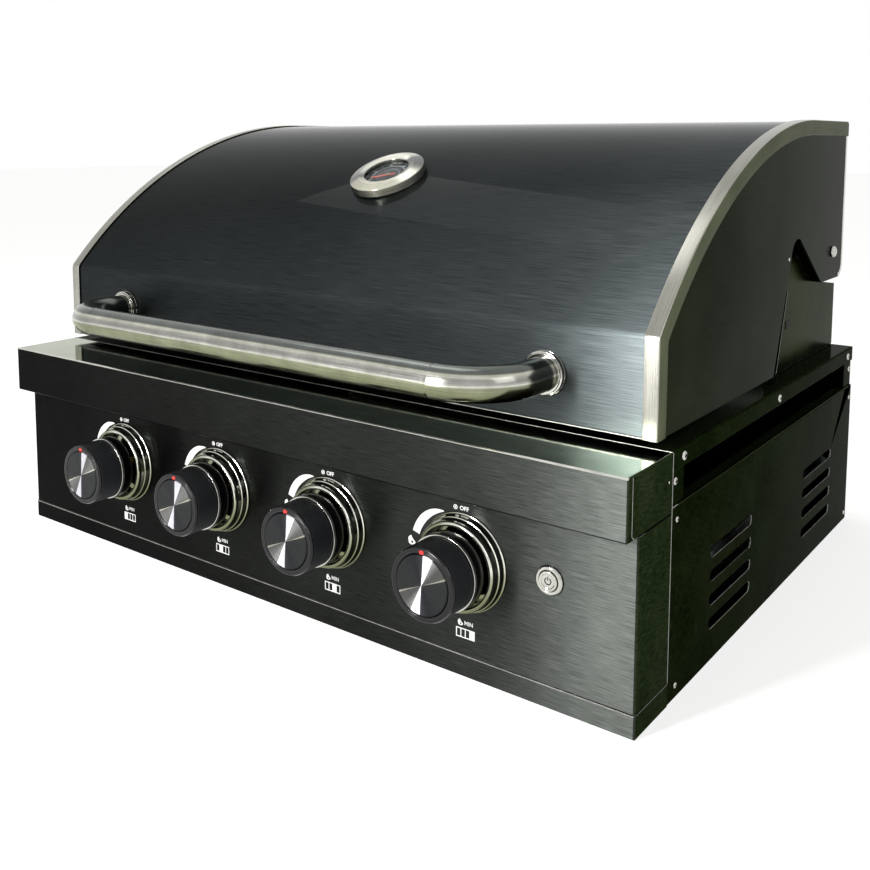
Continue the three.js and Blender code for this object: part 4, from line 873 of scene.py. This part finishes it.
# Thermometer: axes of the gauge on the sloping lid
gauge = {"centre": (0, -100, 412.347), "tilt": 28.108, "wallTop": 8.6, "ridge": 12.0, "ridgeRadius": 31.5,
         "mouth": 25.2, "mouthTop": 10.6, "well": 29.3, "floor": 2.4, "dialTop": 3.5, "needleTurn": 202}
lean = math.radians(gauge["tilt"])
gaugeAxes = ((1, 0, 0), (0, math.cos(lean), math.sin(lean)), (0, -math.sin(lean), math.cos(lean)))
mouth, mouthTop, well, wellFloor = gauge["mouth"], gauge["mouthTop"], gauge["well"], gauge["floor"]
bezelProfile = softened([
    (0, -70), (4, -70), (4, -8.5), (9, -8.5), (9, -1.5), (6, -1.5), (6, 0.3), (42.5, 0.3),
    (42.1, gauge["wallTop"]), (41.2, gauge["wallTop"] + 0.5), (gauge["ridgeRadius"], gauge["ridge"]),
    (mouth + 0.5, mouthTop), (mouth, mouthTop - 0.5), (mouth, 7.7), (well, 7.7), (well, wellFloor),
    (0, wellFloor)], 0.35, 3, False)


def gaugePiece(name, grid, material, body, nodes=()):
    return gridPiece(name, laid(grid, gauge["centre"], gaugeAxes), material, body, nodes)


evenNormals(gaugePiece("thermometer_bezel_dressed", turnedGrid(bezelProfile, 128), brightSteel, "lid",
                       ("thermometer_bezel",)))
dial = {"start": 215, "sweep": -250, "ticks": 51, "longEvery": 5, "outer": 26.6, "short": 25.0, "long": 23.6,
        "radius": 29, "foot": 2.7, "ink": 0.06, "sink": 0.05, "numberRadius": 21.6, "numberSize": 3.4}
card = [(0, dial["foot"]), (dial["radius"], dial["foot"]), (dial["radius"], gauge["dialTop"]),
        (0, gauge["dialTop"])]
gaugePiece("thermometer_dial_dressed", turnedGrid(card, 96), dialBlack, "lid",
           ("thermometer_dial",))

cardTop = gauge["dialTop"]
inkFoot, inkTop = cardTop - dial["sink"], cardTop + dial["ink"]
dialEnd = dial["start"] + dial["sweep"]
for name, inner, rim in (("outer", 26.7, 27.4), ("middle", 18.6, 20.0), ("inner", 12.5, 13.1)):
    arc = sectorGrid(inner, rim, dial["start"], dialEnd, inkFoot, inkTop, 72)
    gaugePiece("dial_arc_" + name, arc, greyInk, "lid")

tickAngle = np.radians(dial["start"] + dial["sweep"] * np.linspace(0, 1, dial["ticks"]))
isLong = np.arange(dial["ticks"]) % dial["longEvery"] == 0
for name, chosen, width in (("long", isLong, 0.6), ("short", ~isLong, 0.3)):
    angle = tickAngle[chosen]
    radial = np.stack([np.cos(angle), np.sin(angle), 0 * angle], 1)
    aside = np.stack([-np.sin(angle), np.cos(angle), 0 * angle], 1) * width / 2
    levels = np.array([[0, 0, inkFoot]] * 2 + [[0, 0, inkTop]] * 2)
    rings = [np.stack([radial * reach - aside, radial * reach + aside] * 2, 1)[:, [0, 1, 3, 2]] + levels
             for reach in (dial[name], dial["outer"])]
    gaugePiece("dial_ticks_" + name, blockGrid(rings), whiteInk, "lid")


# Lettering as a thin solid: words laid on a plane by its origin and axes, height in millimetres
def lettering(name, words, size, origin, axes, material, body, thick, lift, bold=0.0):
    curve = bpy.data.curves.new(name, "FONT")
    curve.body = words
    curve.size = 1.0
    curve.align_x = "CENTER"
    curve.align_y = "CENTER"
    curve.extrude = 0.5
    curve.offset = bold
    curve.resolution_u = 3
    holder = addObject(name + "_type", curve)
    bpy.context.view_layer.update()
    mesh = bpy.data.meshes.new_from_object(holder.evaluated_get(bpy.context.evaluated_depsgraph_get()))
    bpy.data.objects.remove(holder)
    place = np.empty(len(mesh.vertices) * 3)
    mesh.vertices.foreach_get("co", place)
    place = place.reshape(-1, 3) * [size, size, thick] + [0, 0, lift]
    mesh.vertices.foreach_set("co", (placed(place, origin, axes) * mm).ravel())
    cleanMesh(mesh, 1e-6)
    mesh.name = name
    mapFlat(mesh, axes[0], axes[1])
    return addPiece(name, mesh, [material], body)


for k in range(6):
    angle = math.radians(dial["start"] + dial["sweep"] * k / 5)
    spot = dial["numberRadius"] * np.array([math.cos(angle), math.sin(angle), 0.0])
    spot = placed(spot, gauge["centre"], gaugeAxes)
    lettering(f"dial_number_{k}", str(50 + 50 * k), dial["numberSize"], spot, gaugeAxes, whiteInk, "lid", 0.1,
              cardTop)

# Needle: a blade with a ridge, its five corners at each of five stations
turn = math.radians(gauge["needleTurn"])
needleAxes = ((math.cos(turn), math.sin(turn), 0), (-math.sin(turn), math.cos(turn), 0), (0, 0, 1))
bladeRun = np.array([-8.5, -7.6, 0, 18.6, 19.6])
bladeHalf = np.array([1.0, 1.3, 1.35, 0.8, 0.4])
blade = np.stack([np.stack([bladeRun, share * bladeHalf, np.full(5, level)], 1)
                  for share, level in ((-1, 3.85), (1, 3.85), (1, 4.15), (0, 4.45), (-1, 4.15))], 1)
gaugePiece("thermometer_needle_dressed", laid(closedRun(blade), (0, 0, 0), needleAxes), needleRed, "needle",
           ("thermometer_needle",))
hub = softened([(0, 3.9), (1.6, 3.9), (1.6, 4.9), (0, 4.9)], 0.3, 3, False)
gaugePiece("needle_hub", turnedGrid(hub, 32), brass, "needle")
lens = softened([(0, 6.0), (29, 6.0), (29, 7.3), (0, 7.5)], 0.3, 3, False)
gaugePiece("thermometer_lens_dressed", turnedGrid(lens, 96), glass, "lid", ("thermometer_lens",))
print("thermometer made")

# Burner controls, profiles in radius and height over the panel
control = {"first": -215.5, "pitch": 149.3, "height": 100.4, "panelY": -295}
ringProfile = ringOf(softened([
    (4.6, 0.3), (43, 0.3), (43, 1.5), (41.9, 1.9), (41.8, 3.4), (40.9, 7.3), (40.0, 7.5), (40.0, 8.1),
    (39.0, 11.3), (39.0, 13.9), (37.9, 15.5), (35.6, 15.5), (34.5, 14.2), (34.5, 12.2), (35.0, 11.4),
    (35.0, 1.9), (4.6, 1.9),
], [0.1, 0.4, 0.4, 0.3, 0.3, 0.3, 0.3, 0.3, 0.5, 1.3, 1.2, 1.2, 1.2, 0.6, 0.3, 0.5, 0.1], 4, False))
skirtProfile = softened([
    (0, 32), (4.3, 32), (4.3, 18), (11, 18), (11, 51), (28.3, 51), (28.3, 18), (33, 18), (33, 28.6),
    (31.8, 30), (30.1, 30), (30.1, 31.4), (30.1, 57.4), (0, 57.4)], 0.5, 3, False)
shadeSleeveProfile = ringOf(softened([(34.3, 2.0), (34.9, 2.0), (34.9, 11.8), (34.3, 11.8)], 0.1, 2))
lineProfile = ringOf(softened([(30.4, 30.1), (32.5, 30.1), (32.8, 30.6), (32.5, 31.1), (30.4, 31.1)], 0.2, 2))
rimProfile = softened([(30.0, 55.6), (31.2, 55.6), (31.2, 57.0), (30.3, 58.8), (29.6, 59.0), (28.4, 59.0),
                       (28.3, 57.6)], 0.2, 3, False)
capDisc = softened([(0, 57.5), (25.2, 57.5), (25.2, 58.3), (24.6, 59.2), (0, 59.35)], 0.12, 2, False)
capRing = ringOf(softened([(25.3, 57.5), (28.4, 57.5), (28.4, 58.8), (28.1, 59.0), (26.6, 59.1),
                           (25.3, 58.0)], 0.15, 2))
stemProfile = softened([(0, -17.5), (4, -17.5), (4, 31.7), (0, 31.7)], 0.4, 2, False)
grip = {"back": 31.4, "front": 55.6, "radius": 31.3, "foot": 30.0, "depth": 0.75, "ridges": 92, "perRidge": 5,
        "rows": 74}
gripHeights = np.linspace(grip["back"], grip["front"], grip["rows"])
gripProfile = np.concatenate([
    [[grip["foot"], grip["back"]]],
    np.stack([np.full(grip["rows"], grip["radius"] + 0.2), gripHeights], 1),
    [[grip["foot"], grip["front"]]],
])
mark = {"inner": 25.9, "outer": 29.0, "start": 85.6, "end": 94.4, "low": 58.6, "high": 59.2, "steps": 6}


# Diamond knurl: two sets of slanted ridges cross, and the radius is their lower one
def knurl(angle, height):
    slant = (height - grip["back"]) / grip["radius"]
    one = np.abs(np.sin((angle + slant) * grip["ridges"] / 2))
    two = np.abs(np.sin((angle - slant) * grip["ridges"] / 2))
    ends = np.clip(np.minimum(height - grip["back"], grip["front"] - height) / 0.8, 0, 1)
    return grip["depth"] * (np.minimum(one, two) * ends - 1)


# The middle of a control, or a spot to the right of it and above it
def controlSpot(k, right=0.0, above=0.0):
    return np.array([control["first"] + k * control["pitch"] + right, control["panelY"],
                     control["height"] + above])


def controlPiece(name, k, grid, material, body="body", nodes=(), spot=(0.0, 0.0), crisp=32):
    grid = laid(grid, controlSpot(k, *spot), frontAxes)
    return gridPiece(f"{name}_{k + 1}", grid, material, body, nodes, crisp)


for k in range(4):
    knob, black = f"knob_{k + 1}", "black_plastic"
    evenNormals(controlPiece("control_ring_dressed", k, turnedGrid(ringProfile, 112), ringChrome, "body",
                             (f"control_ring_{k + 1}",)))
    # A black sleeve inside each ring: painted shade on the ring's inner wall
    controlPiece("ring_shade_sleeve", k, turnedGrid(shadeSleeveProfile, 96), knobGloss)
    evenNormals(controlPiece("knob_core", k, turnedGrid(skirtProfile, 96), knobGloss, knob, (knob,)))
    knurled = turnedGrid(gripProfile, grip["ridges"] * grip["perRidge"], knurl)
    controlPiece("knob_grip", k, knurled, knobBlack, knob, crisp=180)
    controlPiece("knob_line", k, turnedGrid(lineProfile, 96), chrome, knob)
    controlPiece("knob_rim", k, turnedGrid(rimProfile, 96), knobGloss, knob)
    evenNormals(controlPiece("knob_disc", k, turnedGrid(capDisc, 128), spunAluminium, knob,
                             (f"knob_cap_{k + 1}",)))
    controlPiece("knob_ring", k, turnedGrid(capRing, 96), knobGloss, knob)
    controlPiece("knob_mark", k, sectorGrid(**mark), redInk, knob)
    controlPiece("valve_stem_dressed", k, turnedGrid(stemProfile, 32), brass, f"stem_{k + 1}",
                 (f"valve_stem_{k + 1}",))
print("controls made")

# Printed marks by each control, from the control's middle, in the panel's plane
marks = {"thick": 0.12, "sink": 0.04, "lift": 0.02, "offX": 1.0, "offY": 46.4, "offSize": 5.2, "dotX": -7.9,
         "minX": 6.2, "minY": -53.3, "minSize": 5.0, "flameX": -2.6, "highFlameX": -54.4, "highFlameY": 6.4,
         "crescentStart": 163.5, "crescentEnd": 116.5, "iconX": 2.9, "iconY": -62.4, "iconWide": 19.0,
         "iconTall": 8.5, "iconLine": 0.95}
inkLevels = np.array([0, 0, 1, 1]) * marks["thick"] - marks["sink"]


# A flame: a drop whose half width follows its height, with a lean, as a thin solid
def flameGrid(x, y, size):
    t = np.linspace(0, 1, 13)[:, None]
    half = size * 0.47 * np.sin(math.pi * t ** 0.62) ** 0.8 * (1 - 0.25 * t) + 0.02
    across = x + size * 0.10 * np.sin(2 * math.pi * t) + np.array([-1, 1, 1, -1]) * half
    return closedRun(np.stack([across, y + size * (t - 0.5) + 0 * across, inkLevels + 0 * across], -1))


# The heat crescent: an arc between two edges that close on each other as powers of the way along it
def crescentGrid():
    t = np.linspace(0, 1, 33)[:, None]
    angle = np.radians(marks["crescentStart"] + (marks["crescentEnd"] - marks["crescentStart"]) * t)
    outerEdge = 54.9 - 9.9 * t ** 2.6
    innerEdge = 47.5 - 3.4 * t ** 1.5
    radius = np.concatenate([innerEdge, outerEdge, outerEdge, innerEdge], 1)
    return closedRun(np.stack([radius * np.cos(angle), radius * np.sin(angle), inkLevels + 0 * radius], -1))


# Upright bars as thin solids: left, right, foot and top of each
def barGrid(bars):
    box = np.asarray(bars, float)
    x = box[:, [0, 1, 1, 0]]
    return blockGrid([np.stack([x, box[:, [edge]] + 0 * x, inkLevels + 0 * x], -1) for edge in (2, 3)])


for k in range(4):
    controlPiece("heat_crescent", k, crescentGrid(), whiteInk)
    for name, x, y, size in (("high", marks["highFlameX"], marks["highFlameY"], 8.6),
                             ("low", marks["flameX"], marks["minY"], 5.8)):
        core = sectorGrid(0, size * 0.13, 0, 360, marks["thick"] / 2, marks["thick"] + marks["lift"], 16)
        controlPiece("flame_core_" + name, k, core, holeShadeAndInkBlack, spot=(x + size * 0.12, y - size * 0.2))
        controlPiece("flame_" + name, k, flameGrid(x, y, size), whiteInk)
    for name, inner, outer in (("ring", 1.35, 2.1), ("dot", 0.0, 0.85)):
        disc = sectorGrid(inner, outer, 0, 360, inkLevels[0], inkLevels[-1], 24)
        controlPiece("off_" + name, k, disc, whiteInk, spot=(marks["dotX"], marks["offY"]))
    for word in ("off", "min"):
        spot = controlSpot(k, marks[word + "X"], marks[word + "Y"])
        lettering(f"{word}_word_{k + 1}", word.upper(), marks[word + "Size"], spot, frontAxes, whiteInk,
                  "body", marks["thick"], marks["lift"], bold=0.025)
    left, foot = marks["iconX"] - marks["iconWide"] / 2, marks["iconY"] - marks["iconTall"] / 2
    right, head, line = left + marks["iconWide"], foot + marks["iconTall"], marks["iconLine"]
    cell = (marks["iconWide"] - line) / 4
    bars = [(left, right, foot, foot + line), (left, right, head - line, head)]
    bars += [(left + cell * j, left + cell * j + line, foot + line, head - line) for j in range(5)]
    bars += [(left + cell * k + line, left + cell * (k + 1), foot + line, head - line)]
    controlPiece("burner_icon", k, barGrid(bars), whiteInk)
print("printed marks made")

# Push button: a plated housing with a groove, a pressed ring and a sunk power symbol
buttonOrigin = (315.5, control["panelY"], 107)
housing = softened([
    (0, -9), (8.5, -9), (8.5, 2.1), (9.0, 2.9), (11.0, 2.9), (12.2, 1.6), (12.2, 0.3), (9.6, 0.3),
    (9.6, -1.5), (13, -1.5), (13, -5.5), (9.6, -5.5), (9.6, -24), (0, -24)], 0.4, 4, False)
plunger = softened([(0, -7.1), (8.2, -7.1), (8.2, 3.6), (7.7, 4.1), (6.3, 4.1), (5.7, 3.3), (0, 3.3)], 0.3, 3,
                   False)
symbol = {"inner": 2.3, "outer": 3.2, "start": 118, "end": 422, "low": 3.22, "high": 3.42, "steps": 40}
symbolBar, barLift = (-0.42, 0.42, 0.6, 3.9), 3.3


def buttonPiece(name, grid, material, body, nodes=()):
    return gridPiece(name, laid(grid, buttonOrigin, frontAxes), material, body, nodes)


evenNormals(buttonPiece("power_button_housing_dressed", turnedGrid(housing, 80), chrome, "body",
                        ("power_button_housing",)))
evenNormals(buttonPiece("power_button_dressed", turnedGrid(plunger, 80), polishedSteel, "button",
                        ("power_button",)))
buttonPiece("power_symbol_ring", sectorGrid(**symbol), knobGloss, "button")
places, brush = barGrid([symbolBar])
buttonPiece("power_symbol_bar", (places + [0, 0, barLift], brush), knobGloss, "button")
print("push button made")

# Pan-head screws with a cross recess. The head is a grid of radius and angle: a dome less a cross.
screw = {"radius": 4.0, "slotWide": 1.3, "slotLong": 2.5, "slotDeep": 1.5, "well": 1.8, "sink": 0.35}


def screwHead(radius, height):
    reach = np.concatenate([[0], np.linspace(0.08, 1, 22)])[:, None] * radius
    angle = np.linspace(0, 2 * math.pi, 49)[None, :]
    x, y = reach * np.cos(angle), reach * np.sin(angle)
    scale = radius / screw["radius"]
    arm = np.minimum(np.abs(x), np.abs(y)) < screw["slotWide"] * scale / 2
    cross = arm & (np.maximum(np.abs(x), np.abs(y)) < screw["slotLong"] * scale)
    cross = cross | (reach < screw["well"] * scale)
    dome = height * np.sqrt(np.clip(1 - 0.86 * (reach / radius) ** 3, 0, 1))
    top = dome + 0 * angle - cross * screw["slotDeep"] * scale
    foot = np.stack([x[-1:], y[-1:], 0 * x[-1:] - 0.3], -1)
    places = np.concatenate([np.stack([x, y, top], -1), foot, foot * [0, 0, 1]], 0)
    places[:, -1] = places[:, 0]
    return places, places[..., :2]


# Screws of one size at many spots, with a dark plug in the middle of each cross as painted shade of the
# recess
def addScrews(name, spots, axes, radius, height, body="body"):
    heads = repeated(*laid(screwHead(radius, height), (0, 0, 0), axes), spots)
    gridPiece(name, heads, polishedSteel, body, crisp=40)
    well, floorTop = screw["well"] * radius / screw["radius"], height - screw["sink"]
    plug = turnedGrid([(0, 0), (well, 0), (well, floorTop), (0, floorTop)], 16)
    gridPiece(name + "_wells", repeated(*laid(plug, (0, 0, 0), axes), spots), holeShadeAndInkBlack, body)


# Screws of the sides: distance out, radius and height of the head, then places behind the panel and heights
sideScrews = {
    "rail": (390, 3.8, 1.9, [(81.4, 202.5), (319.8, 201.3), (568.7, 201.1)]),
    "panel": (390, 2.4, 1.3, [(70.4, 152.9), (582, 150), (76, 11), (582, 8.6)]),
    "post": (388.5, 3.2, 1.4, [(68.3, 184.5), (581.4, 184.1)]),
}
rearScrews = [(382, 16), (382, 90), (382, 165), (382, 200), (120, 200), (240, 216)]
for side, sign in bothSides:
    outward = ((0, sign, 0), (0, 0, 1), (sign, 0, 0))
    for name, (x, radius, height, placesBehind) in sideScrews.items():
        spots = [(sign * x, control["panelY"] + y, z) for y, z in placesBehind]
        addScrews(f"{side}_{name}_screws", spots, outward, radius, height)
    addScrews(side + "_lid_screw", [(sign * plate["outer"], 76, 333)], outward, 1.8, 1.0, "lid")
    spots = [(sign * x, 295, z) for x, z in rearScrews]
    addScrews(side + "_rear_screws", spots, ((-1, 0, 0), (0, 0, 1), (0, 1, 0)), 3.6, 1.7)

# Hinge bolts: a domed head outside the ear, a shoulder between ear and cheek, a nut inside
hinge = {"y": 231, "z": 328}
boltProfile = softened([
    (0, 351.7), (7, 351.7), (7, 357.7), (4, 357.7), (4, 365.1), (6, 365.1), (6, 377.0), (4, 377.0),
    (4, 378.8), (6.5, 378.8), (6.5, 380.2), (5.6, 382.2), (3.2, 383.3), (0, 383.3)], 0.6, 3, False)
for side, sign in bothSides:
    outward = ((0, sign, 0), (0, 0, 1), (sign, 0, 0))
    bolt = laid(turnedGrid(boltProfile, 48), (0, hinge["y"], hinge["z"]), outward)
    gridPiece(side + "_hinge_bolt_dressed", bolt, chrome, "body", (side + "_hinge_bolt",))
print("fasteners made")

# Gas train: smoothed copies of the CAD solids
for k in range(4):
    dressSheet(f"gas_valve_{k + 1}", [brass], fold=0.8, burr=0.4)
dressSheet("gas_manifold", [zinc], fold=0.4, foldAngle=50)

# Thread on the inlet: a triangular ridge that climbs one pitch in each turn
inlet = {"x": 358, "z": 66, "start": 296, "end": 315.5, "radius": 10.5, "pitch": 1.8, "ridge": 0.55}
turns = (inlet["end"] - inlet["start"]) / inlet["pitch"]
along = np.linspace(0, 1, int(turns * 28))[:, None]
angle = along * turns * 2 * math.pi
fade = np.clip(np.minimum(along, 1 - along) * 25, 0.02, 1)
radial = inlet["radius"] - 0.15 + np.array([0, 1, 0]) * inlet["ridge"] * fade
depth = inlet["start"] + along * (inlet["end"] - inlet["start"])
depth = depth + np.array([-0.5, 0, 0.5]) * inlet["pitch"] * 0.8
ridge = np.stack([inlet["x"] + radial * np.cos(angle), depth, inlet["z"] + radial * np.sin(angle)], -1)
gridPiece("inlet_thread", closedRun(ridge), brass, "body")
print("gas train dressed")


# Round rods between two points, with rounded ends: radius follows a quarter circle at each end
def rodGrid(start, end, radius):
    start, end = np.asarray(start, float), np.asarray(end, float)
    length = np.linalg.norm(end - start)
    axis = (end - start) / length
    helper = np.array([0, 0, 1.0]) if abs(axis[2]) < 0.9 else np.array([1.0, 0, 0])
    side = np.cross(helper, axis)
    side /= np.linalg.norm(side)
    turn = np.linspace(0, math.pi / 2, 5)
    profile = np.concatenate([np.stack([radius * np.sin(turn), radius * (1 - np.cos(turn))], 1),
                              np.stack([radius * np.cos(turn), length - radius * (1 - np.sin(turn))], 1)])
    places, brush = laid(turnedGrid(profile, 16), start, (side, np.cross(axis, side), axis))
    return places, brush[..., ::-1]


# Warming rack: a wire frame on four legs with five cross wires
rack = {"half": 355, "frontY": 103, "rearY": 217, "wireZ": 302.5, "wire": 2.5, "bars": 5, "bar": 1.7,
        "barLift": 0.8, "overrun": 2, "legFoot": 210.3}
xs, ys = (-rack["half"], rack["half"]), (rack["frontY"], rack["rearY"])
wire, wireZ = rack["wire"], rack["wireZ"]
rods = [((x, ys[0] - rack["overrun"], wireZ), (x, ys[1] + rack["overrun"], wireZ), wire) for x in xs]
rods += [(*acrossX(rack["half"], y, wireZ), wire) for y in ys]
rods += [((x, y, rack["legFoot"]), (x, y, wireZ), wire) for x in xs for y in ys]
gap = (ys[1] - ys[0]) / (rack["bars"] + 1)
rods += [(*acrossX(rack["half"], ys[0] + (k + 1) * gap, wireZ + rack["barLift"]), rack["bar"])
         for k in range(rack["bars"])]
grids = [rodGrid(*rod) for rod in rods]
gridPiece("warming_rack_dressed", [np.stack(part) for part in zip(*grids)], chrome, "body",
          ("warming_rack",), crisp=60)

# Tube burners with two rows of ports, each row leaning out from the top, in half turns
burner = {"portStart": -170, "portEnd": 214, "portPitch": 7.5, "radius": 14,
          "leans": {"left": 0.82, "right": 0.18}}
burnerProfile = softened([
    (11, -236.5), (12, -236.5), (12, -220.5), (9, -217.5), (9, -200.8), (14, -180.8), (14, 228.8), (3, 228.8),
    (3, 253), (0, 253)], 0.8, 3, False)
portSpots = np.arange(burner["portStart"], burner["portEnd"], burner["portPitch"])
# Each port is a small dark plug on the tube: painted shade of the hole
port = turnedGrid([(0, -0.5), (1.1, -0.5), (1.1, 0.06), (0, 0.06)], 10)
for k in range(4):
    x, z = control["first"] + k * control["pitch"], control["height"]
    tube = laid(turnedGrid(burnerProfile, 48), (x, 0, z), ((1, 0, 0), (0, 0, -1), (0, 1, 0)))
    gridPiece(f"burner_dressed_{k + 1}", tube, satinSteel, "body", (f"burner_{k + 1}",))
    for row, lean in burner["leans"].items():
        out = (math.cos(lean * math.pi), 0, math.sin(lean * math.pi))
        spots = [(x + burner["radius"] * out[0], y, z + burner["radius"] * out[2]) for y in portSpots]
        ports = repeated(*laid(port, (0, 0, 0), ((0, 1, 0), np.cross(out, (0, 1, 0)), out)), spots)
        gridPiece(f"burner_ports_{row}_{k + 1}", ports, holeShadeAndInkBlack, "body")
print("burners and rack made")

# Camera at the photograph's place
view = {"place": (701.6, -990.9, 454.1), "yaw": 37.611, "pitch": 6.093, "focal": 1033.371,
        "shift": (35, -185), "side": 870}
camera = bpy.data.cameras.new("camera")
camera.sensor_width = 36
camera.lens = view["focal"] / view["side"] * camera.sensor_width
camera.shift_x = view["shift"][0] / view["side"]
camera.shift_y = view["shift"][1] / view["side"]
camera.clip_start = 0.05
camera.clip_end = 60
eye = addObject("camera", camera)
eye.location = [value * mm for value in view["place"]]
eye.rotation_euler = (math.radians(90 - view["pitch"]), 0, math.radians(view["yaw"]))
bpy.context.scene.camera = eye

# Studio: pale floor, white room, three large soft lamps. Places in metres.
lamps = {
    "front": {"place": (-0.42, -2.2, 0.66), "aim": (0.3, -0.3, 0.2), "size": (0.25, 1.2), "watts": 47},
    "fill": {"place": (2.6, -0.6, 1.8), "aim": (0, 0, 0.2), "size": (1.4, 1.4), "watts": 8},
    "top": {"place": (-0.75, 0.35, 2.2), "aim": (0.2, 0, 0.3), "size": (0.6, 1.6), "watts": 6},
}
for name, lamp in lamps.items():
    light = bpy.data.lights.new(name, "AREA")
    light.shape = "RECTANGLE"
    light.size, light.size_y = lamp["size"]
    light.energy = lamp["watts"]
    holder = addObject(name, light)
    holder.location = lamp["place"]
    aim = np.array(lamp["aim"]) - np.array(lamp["place"])
    level = math.hypot(aim[0], aim[1])
    holder.rotation_euler = (math.atan2(level, -aim[2]), 0, math.atan2(aim[1], aim[0]) - math.pi / 2)


# One where a ray comes from the camera, a mirror or glass, so that they see the plain white room
def seesRoom(tree):
    path = addNode(tree, "ShaderNodeLightPath")
    first = addNode(tree, "ShaderNodeMath", {0: path.outputs["Is Camera Ray"],
                                             1: path.outputs["Is Glossy Ray"]}, operation="MAXIMUM")
    return addNode(tree, "ShaderNodeMath", {0: first.outputs[0], 1: path.outputs["Is Transmission Ray"]},
                   operation="MAXIMUM").outputs[0]


world = bpy.data.worlds.new("studio")
bpy.context.scene.world = world
world.use_nodes = True
tree = world.node_tree
tree.nodes.clear()
room = addNode(tree, "ShaderNodeBackground", {"Color": (1, 1, 1, 1), "Strength": 1.0})
air = addNode(tree, "ShaderNodeBackground", {"Color": (1, 1, 1, 1), "Strength": 0.4})
mixed = addNode(tree, "ShaderNodeMixShader", {0: seesRoom(tree), 1: air.outputs[0], 2: room.outputs[0]})
addNode(tree, "ShaderNodeOutputWorld", {"Surface": mixed.outputs[0]})

floorLook = {"half": 14.0, "drop": 0.0003, "colour": "#e9e9e7", "lift": 0.64}
floorMesh = bpy.data.meshes.new("floor")
corners = [(x * floorLook["half"], y * floorLook["half"], -floorLook["drop"])
           for x, y in ((-1, -1), (1, -1), (1, 1), (-1, 1))]
floorMesh.from_pydata(corners, [], [(0, 1, 2, 3)])
floor = addObject("floor", floorMesh)
floorMaterial = bpy.data.materials.new("pale_floor")
floorMaterial.use_nodes = True
tree = floorMaterial.node_tree
tree.nodes.clear()
matt = addNode(tree, "ShaderNodeBsdfDiffuse", {"Color": linear(floorLook["colour"])})
lift = addNode(tree, "ShaderNodeMath", {0: seesRoom(tree), 1: floorLook["lift"]}, operation="MULTIPLY")
glow = addNode(tree, "ShaderNodeEmission", {"Color": (1, 1, 1, 1), "Strength": lift.outputs[0]})
both = addNode(tree, "ShaderNodeAddShader", {0: matt.outputs[0], 1: glow.outputs[0]})
addNode(tree, "ShaderNodeOutputMaterial", {"Surface": both.outputs[0]})
floorMesh.materials.append(floorMaterial)
bpy.context.scene.view_settings.view_transform = "Standard"
print("studio made")
